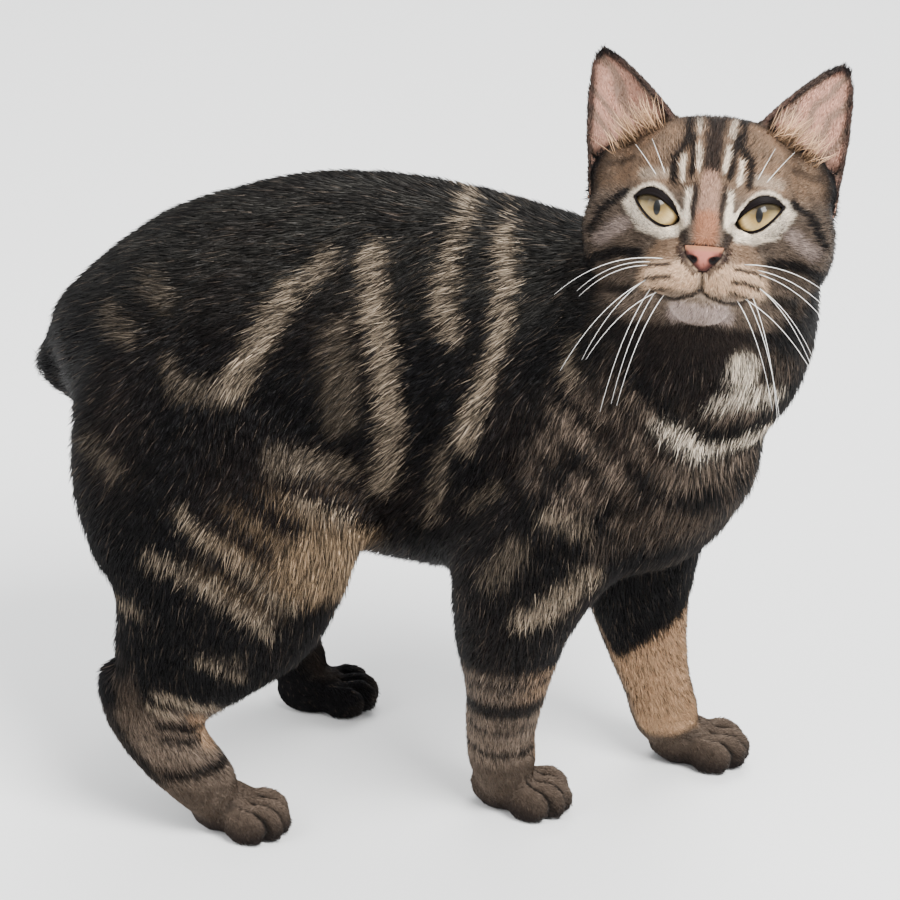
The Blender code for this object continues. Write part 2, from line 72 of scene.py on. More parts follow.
# The cornea's dome as its radius and rise, and the pupil's half width and half height.
DOME = (0.52, 0.08)
PUPIL = (0.13, 0.28)
EAR_ROOT = (2.95, -0.7, 2.2)
EAR_EDGE = [(1.5, 3.3), (2.25, 4.2), (3.1, 5.0), (4.5, 6.0), (4.9, 5.2), (4.9, 2.6), (4.7, 1.0)]
NOSE_TIP = (0.0, 3.9, -1.9)
NOSE_HALF = [(0.72, -1.42), (0.6, -1.85), (0.12, -2.32)]
MOUTH_HALF = [(0.0, -3.0), (0.35, -3.22), (0.9, -3.38), (1.45, -3.3), (1.85, -3.1)]
PHILTRUM = [(0.0, -2.3), (0.0, -3.05)]

# Skin, in metres: how fine it is, how far the solids grow to meet, and how deep its grooves are.
SKIN_VOXEL = 0.0011
SKIN_GROWTH = 0.0004
MOUTH_DEPTH = 0.0011
TOE_DEPTH = 0.0017
SKIN_TRIANGLES = 90000
# How far the skin lies inside the solids, as a share of the hair's length.
COAT_DEPTH = 0.3
# How strongly the skin is smoothed, where it is less than on the trunk. The face is what lies further
# ahead in the head's frame than FACE_FROM.
SMOOTHING_PASSES = 34
SMOOTHING = {"hock": 0.6, "foreleg": 0.6, "paw": 0.08, "ear": 0.02, "head": 0.5}
FACE_SMOOTHING = 0.1
FACE_FROM = -0.6

# Coat: hair lengths in centimetres, which grow away from the nose by FACE_GAIN for each
# centimetre, how many layers of tufts lie over each other, and the seed.
BODY_HAIR = 0.85
LEG_HAIR = 0.5
PAW_HAIR = 0.22
FACE_HAIR = 0.24
FACE_GAIN = 0.06
EYELID_HAIR = 0.15
EAR_BASE_HAIR = 0.24
EAR_HAIR = 0.24
LAYERS = 2.5
THIN_LAYERS = 1.2
TUFTS_PER_PIECE = 48000
SEED = 11

# Tufts: width in metres for no length and for each metre of length, lift off the skin in
# degrees, how far directions stray at random and in waves, and lengths beside the coat's own.
TUFT_WIDTH = (0.0002, 0.042)
TUFT_LIFT = (6, 18)
TUFT_STRAY = (0.16, 0.2)
TUFT_LENGTHS = (0.75, 1.2)
TUFT_SINK = 0.0003
TUFT_FACES = np.array([(0, 2, 1), (0, 1, 3), (1, 2, 3), (2, 0, 3)])
TUFT_PATCH = np.array([(-0.0015, -0.0015), (0.0015, -0.0015), (0.0, 0.0), (0.0, 0.0015)])
ROOT_TONE = np.array([0.8, 0.8, 0.9, 1.1])
TUFT_ALONG = np.array([0.0, 0.0, 0.12, 1.0])
# How bright a hair is along its length: dark root, bright band, dark tip.
HAIR_TONES = ((0.0, 0.5), (0.3, 0.75), (0.55, 0.98), (0.8, 1.0), (0.93, 0.6), (1.0, 0.4))

# The long hairs of each ear, in metres, and the lengths and end radii of the whiskers, of
# which those over the eyes are shorter.
EAR_HAIR_COUNT = 120
EAR_HAIR_LENGTHS = (0.008, 0.017)
EAR_HAIR_WIDTH = 0.0004
WHISKER_LENGTHS = (3.0, 4.4)
BROW_LENGTHS = (1.4, 1.9)
WHISKER_RADII = (0.015, 0.004)

# The coat lies along chains of places, each from a solid's middle, in metres.
BODY_CHAINS = [
    [
        ("head", 0, 0, 0),
        ("neck", 0, 0, 0.02),
        ("torso", 0.07, -0.02, 0.03),
        ("torso", 0, 0, 0),
        ("torso", -0.09, 0.01, 0.02),
        ("tail", 0, 0, 0),
    ],
    [("neck", 0.02, -0.02, 0), ("torso", 0.07, -0.02, -0.07)],
]
PAW_CHAIN = [(0, 0, 0.01), (0.02, -0.004, -0.008)]
LEG_CHAINS = [
    [("foreleg", 0, 0, 0.06), ("foreleg", 0, 0, -0.03)] + [("paw_fore", *at) for at in PAW_CHAIN],
    [("thigh", 0, 0, 0.03), ("thigh", -0.01, 0, -0.03), ("hock", 0, 0, 0.03)]
    + [("paw_hind", *at) for at in PAW_CHAIN],
]

# Lights: azimuth and elevation in degrees, distance and size in metres, and power in watts.
LIGHTS = {
    "key": (38, 48, 2.2, 1.0, 108),
    "fill": (-50, 35, 2.4, 1.6, 33),
    "back": (170, 55, 2.2, 1.4, 45),
}
LIGHT_AIM = Vector((0, 0, 0.16))
SURROUND = (0.94, 0.96, 1.0, 1.0)
SURROUND_STRENGTH = 1.1

# The coat's flat plan, as rows of square cells: size, lower edge, left edge, and the solids.
PLAN_ROWS = [
    (0.5, 0.0, 0.0, ["torso", "head"]),
    (0.25, 0.5, 0.0, ["thigh_left", "thigh_right", "foreleg_left", "foreleg_right"]),
    (0.25, 0.75, 0.0, ["neck"]),
    (0.125, 0.75, 0.25, ["tail", "ear_left", "hock_right", "paw_fore_left"]),
    (0.125, 0.75, 0.75, ["paw_fore_right", "paw_hind_left"]),
    (0.125, 0.875, 0.25, ["ear_right", "hock_left", "paw_hind_right"]),
]


def srgb(red, green, blue):
    """A colour given as on a screen, in the linear values that the renderer uses."""
    share = np.array([red, green, blue]) / 255.0
    return np.where(share <= 0.04045, share / 12.92, ((share + 0.055) / 1.055) ** 2.4)


BLACK = srgb(11, 9, 11)
DARK = srgb(32, 25, 23)
GREY_BROWN = srgb(126, 110, 96)
AGOUTI = srgb(80, 68, 58)
PALE_BAND = srgb(174, 156, 134)
TAN = srgb(170, 144, 114)
BEIGE = srgb(142, 114, 90)
CREAM = srgb(250, 234, 212)
PAD_CREAM = srgb(220, 186, 154)
CHIN_GREY = srgb(174, 156, 148)
PINK_BROWN = srgb(172, 138, 118)
BRIDGE_TAN = srgb(158, 108, 80)
PEACH = srgb(180, 146, 114)
EAR_PINK = srgb(196, 150, 130)
# The black of the lids' rims, which also serves as painted shade in the toes' grooves and the nostrils.
LID_AND_SHADE_BLACK = srgb(13, 9, 9)
NOSE_PINK = srgb(164, 100, 86)
NOSE_DARK = srgb(30, 12, 11)
SHEEN = srgb(60, 58, 54)
EYE_BLACK = (0.004, 0.004, 0.004, 1.0)
IRIS_TONES = [
    (0.0, srgb(92, 74, 42)),
    (IRIS * 0.35, srgb(152, 126, 76)),
    (IRIS * 0.7, srgb(212, 186, 132)),
    (IRIS * 0.9, srgb(178, 148, 98)),
    (IRIS, srgb(50, 40, 26)),
    (IRIS + 0.08, srgb(14, 10, 9)),
]
LID_TONES = [(0.3, LID_AND_SHADE_BLACK), (0.8, LID_AND_SHADE_BLACK * 1.6)]
WHISKER_TONES = [(0.2, srgb(225, 222, 214)), (0.8, srgb(250, 249, 246))]
FLOOR_TONES = [(0.3, srgb(240, 240, 238)), (0.7, srgb(248, 248, 246))]

# Marks of the right shin, seen from the side, as colours, (x, z) lines, half widths, strengths.
SHIN_MARKS = [
    (PALE_BAND, [(-8.6, 8.9), (-6.9, 8.2)], 0.2, 0.55),
    (PALE_BAND, [(-10.4, 7.0), (-8.2, 6.2)], 0.2, 0.85),
    (PALE_BAND, [(-10.7, 6.3), (-9.7, 5.8)], 0.17, 0.7),
    (AGOUTI, [(-11.8, 8.2), (-11.3, 6.0)], 0.5, 0.85),
    (PEACH, [(-8.9, 5.7), (-8.4, 4.3)], 0.32, 0.75),
    (BLACK, [(-10.3, 5.35), (-8.9, 5.2)], 0.2, 0.95),
    (BLACK, [(-10.2, 4.72), (-9.0, 4.6)], 0.17, 0.9),
    (BLACK, [(-10.1, 3.1), (-8.9, 3.3), (-7.8, 3.4)], 0.2, 0.92),
]

# Each paw's middle and the way it points, in centimetres and degrees, and its toes' grooves.
FEET = {
    "fore_right": (3.65, -1.35, -22.0),
    "fore_left": (10.8, 3.25, -14.0),
    "hind_right": (-7.6, -4.2, -22.0),
    "hind_left": (-5.3, 6.5, 0.0),
}
TOE_GROOVES = np.array([-0.68, 0.0, 0.68])

# Pale marks of both flanks, as (x, z) lines seen from the side, half widths and strengths.
FLANK_BANDS = [
    ([(1.6, 26.0), (1.1, 25.0), (0.9, 23.7), (1.25, 22.2)], 0.34, 0.85),
    ([(0.75, 24.2), (0.7, 23.2)], 0.35, 0.5),
    ([(3.05, 25.2), (3.2, 24.6), (3.1, 22.6), (2.6, 20.7), (2.0, 19.3), (1.65, 18.1)], 0.36, 1.0),
    ([(0.9, 17.6), (0.4, 14.4)], 0.25, 0.35),
    ([(-1.9, 24.6), (-1.75, 23.2), (-1.4, 21.6), (-1.1, 19.3)], 0.48, 1.0),
    ([(-1.1, 19.3), (-1.0, 18.0), (-1.45, 15.8)], 0.42, 0.7),
    ([(-3.5, 24.6), (-4.3, 24.0), (-5.0, 23.5), (-5.4, 23.1)], 0.28, 0.7),
    ([(-5.4, 23.1), (-6.0, 22.0), (-6.4, 20.9), (-7.1, 19.7)], 0.42, 0.9),
    ([(-7.8, 19.5), (-9.2, 19.7), (-9.7, 20.6)], 0.35, 0.25),
    ([(-3.2, 22.0), (-3.0, 18.6)], 0.6, 0.25),
    ([(-12.2, 21.6), (-11.4, 21.2)], 0.35, 0.3),
    ([(-10.8, 23.0), (-9.9, 22.6)], 0.4, 0.25),
    ([(-5.4, 17.2), (-2.8, 16.6)], 0.5, 0.35),
    ([(-12.8, 17.4), (-11.6, 16.6)], 0.4, 0.25),
    ([(-4.8, 15.7), (-2.8, 14.3)], 0.22, 0.8),
    ([(-9.0, 15.3), (-6.8, 13.3), (-4.8, 11.2)], 0.25, 0.7),
    ([(-10.1, 13.4), (-8.0, 12.4), (-6.6, 11.3), (-5.5, 10.3)], 0.28, 0.8),
    ([(-11.6, 11.1), (-10.7, 10.7)], 0.25, 0.5),
    ([(-8.6, 8.6), (-6.9, 9.0)], 0.35, 0.45),
    ([(3.0, 12.9), (4.0, 14.3)], 0.45, 0.3),
    ([(4.3, 11.2), (5.4, 11.8), (6.7, 13.2)], 0.5, 0.95),
    ([(5.1, 15.8), (6.3, 15.2)], 0.38, 0.5),
    ([(2.1, 15.4), (3.2, 16.4)], 0.28, 0.3),
    ([(6.0, 22.6), (6.0, 21.2)], 0.25, 0.4),
]

# Marks of throat and chest in their order, as colours, (x, z) lines, half widths and strengths.
NECK_MARKS = [
    (DARK, [(9.2, 22.8), (11.2, 22.3)], 1.7, 0.9),
    (AGOUTI, [(12.6, 22.6), (13.6, 21.6)], 0.7, 0.7),
    (GREY_BROWN, [(11.4, 20.1), (13.5, 20.0)], 0.35, 0.6),
    (CREAM, [(12.3, 22.4), (12.3, 20.9)], 0.5, 0.8),
    (CREAM, [(11.3, 20.7), (13.3, 20.7)], 0.36, 0.85),
    (GREY_BROWN, [(9.4, 17.4), (12.2, 17.3)], 0.55, 0.6),
    (AGOUTI, [(8.4, 15.2), (10.4, 15.2)], 0.8, 0.7),
    (BLACK, [(8.2, 17.9), (9.0, 17.0), (9.9, 16.3), (11.4, 16.3)], 0.38, 0.85),
    (GREY_BROWN, [(8.0, 21.3), (8.8, 20.3), (9.5, 19.5)], 0.2, 0.85),
    (CREAM, [(9.3, 19.7), (10.4, 18.6), (11.4, 18.2), (13.4, 18.6)], 0.42, 0.9),
    (BLACK, [(8.2, 21.8), (9.5, 20.3), (10.8, 19.4), (11.8, 19.0), (13.0, 19.5), (14.2, 20.8)], 0.36, 1),
    (BLACK, [(7.6, 20.9), (8.9, 19.5), (9.7, 18.6), (10.7, 17.95), (12.6, 17.8)], 0.17, 0.9),
]

# Marks of the right half of the face in their order, with a painted shadow below the mouth among
# them, as colours, lines (sideways and up in the head's frame), half widths and strengths. The left
# half mirrors them.
FACE_MARKS = [
    (AGOUTI, [(2.9, -0.9), (3.9, -2.4)], 1.0, 0.7),
    (CHIN_GREY, [(3.1, -0.7), (3.9, -1.3)], 0.28, 0.45),
    (CREAM, [(1.5, 1.2), (2.5, 1.1)], 0.2, 0.2),
    (BEIGE, [(1.3, -1.4), (1.7, -2.2)], 0.5, 0.7),
    (CREAM, [(2.95, 0.05), (2.4, -0.75), (1.6, -1.0), (1.15, -0.95)], 0.2, 0.8),
    (DARK, [(0.0, 3.5), (0.0, 1.3)], 0.34, 0.92),
    (CREAM, [(0.55, 2.3), (0.46, 1.4)], 0.08, 0.75),
    (CREAM, [(0.62, 3.3), (0.6, 2.75)], 0.09, 0.6),
    (CREAM, [(1.04, 1.8), (1.03, 1.0)], 0.09, 0.8),
    (BLACK, [(0.8, 2.7), (0.68, 1.2)], 0.12, 0.95),
    (BLACK, [(1.0, 3.6), (1.0, 2.35), (1.38, 1.8), (1.38, 0.9)], 0.16, 0.95),
    (PINK_BROWN, [(0.0, 1.0), (0.0, -0.5)], 0.36, 0.85),
    (BRIDGE_TAN, [(0.0, -0.5), (0.0, -1.5)], 0.42, 0.85),
    (DARK, [(0.54, 0.85), (0.49, -0.3), (0.62, -0.6)], 0.08, 0.85),
    (CREAM, [(0.76, 0.6), (0.74, -0.35)], 0.11, 0.95),
    (DARK, [(0.86, -0.6), (0.8, -1.25)], 0.17, 0.85),
    (PAD_CREAM, [(0.65, -2.6), (1.75, -2.6)], 0.58, 0.85),
    (DARK, [(1.2, -2.18), (2.05, -2.22)], 0.07, 0.95),
    (DARK, [(1.15, -2.62), (2.1, -2.7)], 0.075, 0.95),
    (DARK, [(1.1, -3.02), (1.95, -3.12)], 0.07, 0.9),
    (NOSE_DARK, [(0.95, -1.5), (0.72, -2.0), (0.25, -2.42)], 0.1, 0.85),
    # Painted shadow below the mouth.
    (GREY_BROWN, [(0.0, -3.35), (1.1, -3.3)], 0.25, 0.8),
    (CHIN_GREY, [(0.0, -3.85), (0.95, -3.85)], 0.3, 0.9),
    (BLACK, [(3.0, 0.4), (3.5, 0.2), (3.9, -0.25), (4.3, -1.0)], 0.16, 0.95),
    (BLACK, [(2.5, -1.75), (3.2, -1.75), (4.0, -2.0), (4.6, -2.2)], 0.21, 0.95),
    (BLACK, [(2.7, -3.1), (4.0, -3.1)], 0.2, 0.8),
    (BLACK, [(3.0, 1.7), (3.8, 1.5)], 0.15, 0.6),
]


def head_axes():
    """The head's own frame: its middle, and its right, forward and up directions."""
    right_eye, left_eye = (
        (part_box(name)[0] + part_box(name)[1]) / 2 for name in ("eye_right", "eye_left")
    )
    right = (right_eye - left_eye).normalized()
    flat = Vector((0, 0, 1)).cross(right).normalized()
    pitch = math.radians(HEAD_PITCH)
    forward = flat * math.cos(pitch) + Vector((0, 0, math.sin(pitch)))
    forward = (forward - forward.project(right)).normalized()
    above = right.cross(forward)
    middle = (right_eye + left_eye) / 2 - forward * EYE_FORWARD * CM
    spacing = (right_eye - left_eye).length / CM
    return np.array(middle), np.array([right, forward, above]), spacing


HEAD_MIDDLE, HEAD_AXES, EYE_SPACING = head_axes()


def to_head(points):
    """Points of the model in the head's frame, in centimetres."""
    return (np.asarray(points) - HEAD_MIDDLE) @ HEAD_AXES.T / CM


def from_head(points):
    """Points of the head's frame, in centimetres, in the model's own frame."""
    return HEAD_MIDDLE + np.asarray(points, float) * CM @ HEAD_AXES


def halved(local):
    """Points of the head's frame, with those of the left half mirrored to the right."""
    return np.column_stack([np.abs(local[:, 0]), local[:, 1:]])


def ramp(value, low, high):
    """0 below low and 1 above high, with a smooth rise between them."""
    share = np.clip((value - low) / (high - low), 0.0, 1.0)
    return share * share * (3 - 2 * share)


def wobble(points, size, seed):
    """A smooth random field between about -1 and 1, with features of this size in metres."""
    rng = np.random.default_rng(seed)
    waves = rng.normal(size=(9, 3)) * (1.6 / size)
    phases = rng.uniform(0, 2 * math.pi, 9)
    return np.sin(points @ waves.T + phases).sum(axis=1) / 4.2


def line_distance(points, line):
    """Each point's distance to a line of straight stretches, in the points' own units."""
    line = np.asarray(line, float)
    best = np.full(len(points), np.inf)
    for start, end in zip(line, line[1:]):
        along = end - start
        share = np.clip((points - start) @ along / (along @ along), 0, 1)
        gaps = points - start - share[:, None] * along
        best = np.minimum(best, np.linalg.norm(gaps, axis=1))
    return best


def band(points, line, half_width):
    """1 on a line and 0 beyond its half width, with a soft edge."""
    soft = 0.03 + 0.3 * half_width
    return 1 - ramp(line_distance(points, line), half_width - soft, half_width + soft)


def mix(colour, other, share):
    """The colour, or a colour for each point, moved towards the other by each point's share."""
    return colour + (np.asarray(other) - colour) * np.asarray(share)[..., None]


def mesh_arrays(obj):
    """The object's points, its triangles and its points' normals."""
    mesh = obj.data
    mesh.calc_loop_triangles()
    points = np.empty(len(mesh.vertices) * 3)
    mesh.vertices.foreach_get("co", points)
    triangles = np.empty(len(mesh.loop_triangles) * 3, np.int32)
    mesh.loop_triangles.foreach_get("vertices", triangles)
    normals = np.empty(len(mesh.vertices) * 3)
    mesh.vertex_normals.foreach_get("vector", normals)
    return points.reshape(-1, 3), triangles.reshape(-1, 3), normals.reshape(-1, 3)


def placed(name, data):
    """A new object with this mesh, light or camera, in the scene."""
    obj = bpy.data.objects.new(name, data)
    bpy.context.scene.collection.objects.link(obj)
    return obj


def mesh_of(bm, name):
    mesh = bpy.data.meshes.new(name)
    bm.to_mesh(mesh)
    bm.free()
    return mesh


def triangle_object(name, points, triangles):
    """A new object from arrays of points and triangles."""
    mesh = bpy.data.meshes.new(name)
    mesh.vertices.add(len(points))
    mesh.vertices.foreach_set("co", np.ascontiguousarray(points, np.float32).ravel())
    mesh.loops.add(len(triangles) * 3)
    mesh.loops.foreach_set("vertex_index", np.ascontiguousarray(triangles, np.int32).ravel())
    mesh.polygons.add(len(triangles))
    starts = np.arange(0, len(triangles) * 3, 3, dtype=np.int32)
    mesh.polygons.foreach_set("loop_start", starts)
    mesh.update(calc_edges=True)
    return placed(name, mesh)


def apply_modifiers(obj):
    graph = bpy.context.evaluated_depsgraph_get()
    made = bpy.data.meshes.new_from_object(obj.evaluated_get(graph))
    obj.modifiers.clear()
    obj.data = made
    return obj


def paint_points(obj, colours):
    """Stores a colour for each point of the mesh, the pattern with its painted sheen and shade, as the
    colour attribute that the materials read.
    """
    attribute = obj.data.color_attributes.new("marks_and_painted_light", "FLOAT_COLOR", "POINT")
    values = np.ones((len(colours), 4), np.float32)
    values[:, :3] = colours
    attribute.data.foreach_set("color", values.ravel())


def part_names(*stems):
    return sorted(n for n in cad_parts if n.startswith(stems))


FLESH = part_names("torso", "neck", "head", "tail", "foreleg", "thigh", "hock", "paw", "ear")


class Regions:
    """Finds which of the solids each point is nearest to."""

    def __init__(self, names):
        self.names = names
        points, triangles, owners = [], [], []
        for index, name in enumerate(names):
            own_points, own_triangles, _ = mesh_arrays(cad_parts[name])
            triangles.append(own_triangles + sum(len(p) for p in points))
            points.append(own_points)
            owners.append(np.full(len(own_triangles), index))
        self.owners = np.concatenate(owners)
        self.tree = BVHTree.FromPolygons(
            np.concatenate(points).tolist(), np.concatenate(triangles).tolist()
        )

    def of(self, points):
        found = [self.tree.find_nearest(p)[2] for p in points.tolist()]
        return self.owners[np.array(found)]

    def chosen(self, labels, *stems):
        wanted = [i for i, n in enumerate(self.names) if n.startswith(stems)]
        return np.isin(labels, wanted)


REGIONS = Regions(FLESH)


def eye_gap(local):
    """How far a point of the face is outside the lids' opening, in centimetres, seen from ahead."""
    (x0, z0), (x1, z1) = EYE_CORNERS
    share = (np.abs(local[:, 0]) - x0) / (x1 - x0)
    height = local[:, 2] - (z0 + (z1 - z0) * np.clip(share, 0, 1))
    arch = np.sin(math.pi * np.clip(share, 0, 1)) ** 0.8
    over = np.where(height > 0, height - LID_HEIGHTS[0] * arch, -height - LID_HEIGHTS[1] * arch)
    beyond = np.maximum(np.maximum(-share, share - 1), 0) * (x1 - x0)
    return np.where(beyond > 0, np.hypot(beyond, np.maximum(over, 0)), over)


def nose_gap(local):
    """How far a point is outside the nose leather, in centimetres, seen from ahead."""
    outline = NOSE_HALF + [(-x, z) for x, z in reversed(NOSE_HALF)]
    outline = np.array(outline + outline[:1])
    flat = local[:, [0, 2]]
    inside = np.ones(len(flat), bool)
    for start, end in zip(outline, outline[1:]):
        side = end - start
        inside &= (flat[:, 0] - start[0]) * side[1] - (flat[:, 1] - start[1]) * side[0] >= 0
    distance = line_distance(flat, outline)
    return np.where(inside, -distance, distance)


def mouth_gap(local):
    """How far a point is from the mouth's line and the groove above it, seen from ahead."""
    flat = halved(local)[:, [0, 2]]
    return np.minimum(line_distance(flat, MOUTH_HALF), line_distance(flat, PHILTRUM))


def hair_length(points, labels):
    """The coat's length at each point, in metres."""
    local = to_head(points)
    length = np.full(len(points), BODY_HAIR)
    height = points[:, 2] / CM
    low = ramp(-height, -11.0, -5.0)
    length += (LEG_HAIR - BODY_HAIR) * low
    foot = ramp(-height, -3.4, -2.0)
    length += (PAW_HAIR - length) * foot
    from_nose = np.linalg.norm(local - NOSE_TIP, axis=1)
    face = FACE_HAIR + FACE_GAIN * np.clip(from_nose - 1.6, 0, 6)
    on_head = 1 - ramp(np.linalg.norm(local, axis=1), 4.6, 6.6)
    length += (np.minimum(face, BODY_HAIR) - length) * on_head
    length += (EAR_BASE_HAIR - length) * (1 - ramp(from_ear(local), 1.9, 2.9))
    length = np.where(REGIONS.chosen(labels, "ear"), EAR_HAIR, length)
    near_eye = (1 - ramp(eye_gap(local), 0.1, 0.9)) * (local[:, 1] > 0.5) * on_head
    length += (EYELID_HAIR - length) * near_eye
    return length * CM


def from_ear(local):
    """How far a point is from the root of the nearer ear, in centimetres."""
    return np.linalg.norm(halved(local) - EAR_ROOT, axis=1)


def box_middle(name):
    """The middle of a solid's box."""
    low, high = (np.array(corner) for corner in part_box(name))
    return (low + high) / 2


def flow_bones():
    """Short straight guides that the coat lies along, each as its two ends."""
    chains = list(BODY_CHAINS)
    for side in ("left", "right"):
        chains += [[(f"{stem}_{side}", *at) for stem, *at in chain] for chain in LEG_CHAINS]
    bones = []
    for chain in chains:
        places = [box_middle(name) + np.array(at) for name, *at in chain]
        bones += zip(places, places[1:])
    return bones


def coat_flow(points, normals, labels):
    """The way the coat lies at each point, along the skin."""
    flow = np.zeros_like(points)
    for start, end in flow_bones():
        along = end - start
        share = np.clip((points - start) @ along / (along @ along), 0, 1)
        gap = np.linalg.norm(points - start - share[:, None] * along, axis=1)
        flow += (along / np.linalg.norm(along)) / (gap[:, None] ** 3 + 1e-6)
    flow /= np.linalg.norm(flow, axis=1, keepdims=True)
    local = to_head(points)
    outward = points - from_head([[0.0, 3.2, -1.2]])
    outward /= np.linalg.norm(outward, axis=1, keepdims=True)
    behind = ramp(1.8 - local[:, 1], 0.0, 2.6)[:, None]
    outward -= behind * (1.6 * HEAD_AXES[1] + 0.5 * HEAD_AXES[2])
    on_head = 1 - ramp(np.linalg.norm(local, axis=1), 4.4, 6.8)
    flow += (outward - flow) * on_head[:, None]
    for side, lean in (("left", 0.35), ("right", -0.35)):
        flow[REGIONS.chosen(labels, f"ear_{side}")] = (lean, 0.0, 1.0)
    flow -= normals * (flow * normals).sum(axis=1, keepdims=True)
    return flow / np.maximum(np.linalg.norm(flow, axis=1, keepdims=True), 1e-6)


def body_colour(points, normals, labels):
    """The tabby pattern of the trunk and legs, with a painted sheen on the top of the back."""
    rough = wobble(points, 0.012, 1)
    fine = wobble(points, 0.0035, 2)
    side = points[:, [0, 2]] / CM + 0.12 * np.column_stack([rough, wobble(points, 0.012, 3)])
    colour = mix(BLACK, DARK, 0.8 * ramp(wobble(points, 0.03, 4), -0.6, 0.9))
    # Painted sheen: the upward-facing top of the back is lightened towards a grey, as where it catches
    # the light from above.
    top = ramp(normals[:, 2], 0.1, 0.9) * ramp(points[:, 2], 0.2, 0.24)
    colour = mix(colour, SHEEN, top * (0.6 + 0.35 * fine))
    mottle = ramp(wobble(points, 0.005, 5) + 0.4 * rough, -0.8, 0.4)
    slant = ramp(np.sin((side[:, 0] + side[:, 1]) * 3.3) + 0.4 * fine, -1.1, 0.1)
    shoulder = 1 - ramp(np.hypot((side[:, 0] - 7.6) / 3.4, (side[:, 1] - 17.9) / 3.9), 0.6, 1.2)
    colour = mix(colour, GREY_BROWN, 0.95 * shoulder * mottle * slant)
    for line, half_width, strength in FLANK_BANDS:
        near = band(side, line, half_width) * strength
        colour = mix(colour, PALE_BAND, near * (0.85 + 0.15 * fine))
    colour = mix(colour, TAN, flank_tan(side, fine))
    under = ramp(-normals[:, 2], 0.5, 0.9) * ramp(points[:, 2], 0.08, 0.1)
    colour = mix(colour, AGOUTI, 0.7 * under * ramp(rough, -0.6, 0.6))
    return legs(colour, points, normals, labels, rough, fine)


def flank_tan(side, fine):
    """The tan fold in front of each thigh, with slanting dark stripes behind it."""
    bright = 1 - ramp(np.hypot((side[:, 0] + 3.7) / 2.1, (side[:, 1] - 12.8) / 1.7), 0.6, 1.15)
    wide = 1 - ramp(np.hypot((side[:, 0] + 5.2) / 3.4, (side[:, 1] - 13.6) / 2.7), 0.6, 1.15)
    slant = (side[:, 0] * 0.6 + side[:, 1] * 0.8) * 2 * math.pi / 1.3
    stripes = ramp(np.sin(slant) + 0.4 * fine, -0.3, 0.5)
    return np.maximum(bright * (0.8 + 0.2 * fine), 0.36 * wide * stripes)


def bars(height, places):
    """Dark rings round a leg at the given heights, each with its half width."""
    found = np.zeros(len(height))
    for place, half_width in places:
        ring = 1 - ramp(np.abs(height - place), 0.6 * half_width, 1.4 * half_width)
        found = np.maximum(found, ring)
    return found


def legs(colour, points, normals, labels, rough, fine):
    """Dark bars on grey brown lower legs, paler inside and in front, and dark brown feet, with painted
    shade between the toes and over the far hind leg.
    """
    height = points[:, 2] / CM + 0.15 * rough
    ahead = ramp(normals[:, 0], 0.1, 0.8)
    speckle = ramp(fine, -0.9, 0.6)
    ground = mix(AGOUTI, GREY_BROWN, 0.3 + 0.65 * speckle)
    foot = mix(mix(AGOUTI, GREY_BROWN, 0.12 * speckle), DARK, ramp(-height, -1.4, -0.2))
    # Painted shade: black in the grooves between the toes.
    foot = mix(foot, LID_AND_SHADE_BLACK, 0.85 * (1 - ramp(toe_gap(points), 0.03, 0.16)))
    inner = np.where(REGIONS.chosen(labels, "foreleg_left", "paw_fore_left"), -1, 1)
    inside = ramp(normals[:, 1] * inner + 0.3 * normals[:, 0], 0.0, 0.6)
    fore = mix(ground, PEACH, np.maximum(inside, 0.5 * ahead * ramp(height, 5.5, 6.8)))
    rings = bars(height, [(6.05, 0.42), (4.8, 0.09), (3.5, 0.15), (7.4, 0.1)])
    fore = mix(fore, BLACK, 0.95 * rings * (1 - inside))
    fore = mix(fore, foot, ramp(-height, -3.1 + 0.9 * inside, -2.5 + 0.9 * inside))
    pale_top = 8.1 - 1.9 * inside + 1.5 * normals[:, 0] * inside
    here = REGIONS.chosen(labels, "foreleg", "paw_fore") * (1 - ramp(height - pale_top, -0.2, 0.2))
    colour = mix(colour, fore, here)

    shin = mix(BLACK, ground, 1 - ramp(height, 5.8, 6.6))
    side = np.column_stack([points[:, 0] / CM, height])
    for tone, line, half_width, strength in SHIN_MARKS:
        shin = mix(shin, tone, strength * band(side, line, half_width))
    rear = -0.75 * normals[:, 0] - 0.66 * normals[:, 2]
    shin = mix(shin, BLACK, 0.9 * ramp(rear, 0.2, 0.5))
    shin = mix(shin, foot, ramp(-height, -2.9, -2.3))
    here = REGIONS.chosen(labels, "hock_right", "paw_hind_right", "thigh_right")
    colour = mix(colour, shin, here * (1 - ramp(height, 8.8, 9.2)))
    # Painted shade: the far hind leg is nearly black all over, as it lies in shadow, with a little brown
    # where it faces forward.
    far = mix(BLACK, AGOUTI, 0.3 * ahead * speckle)
    here = REGIONS.chosen(labels, "hock_left", "paw_hind_left")
    return mix(colour, far, here)


def toe_gap(points):
    """How far each point is from the grooves between the toes of its paw, in centimetres."""
    best = np.full(len(points), 9.0)
    for x, y, degrees in FEET.values():
        turn = math.radians(degrees)
        flat = points[:, :2] / CM - (x, y)
        along = flat @ (math.cos(turn), math.sin(turn))
        across = flat @ (-math.sin(turn), math.cos(turn))
        near = np.abs(across[:, None] - TOE_GROOVES).min(axis=1) + 0.4 * np.maximum(0.9 - along, 0)
        here = (along > 0.2) & (along < 2.8) & (np.abs(across) < 1.7) & (points[:, 2] < 0.022)
        best = np.where(here, np.minimum(best, near), best)
    return best


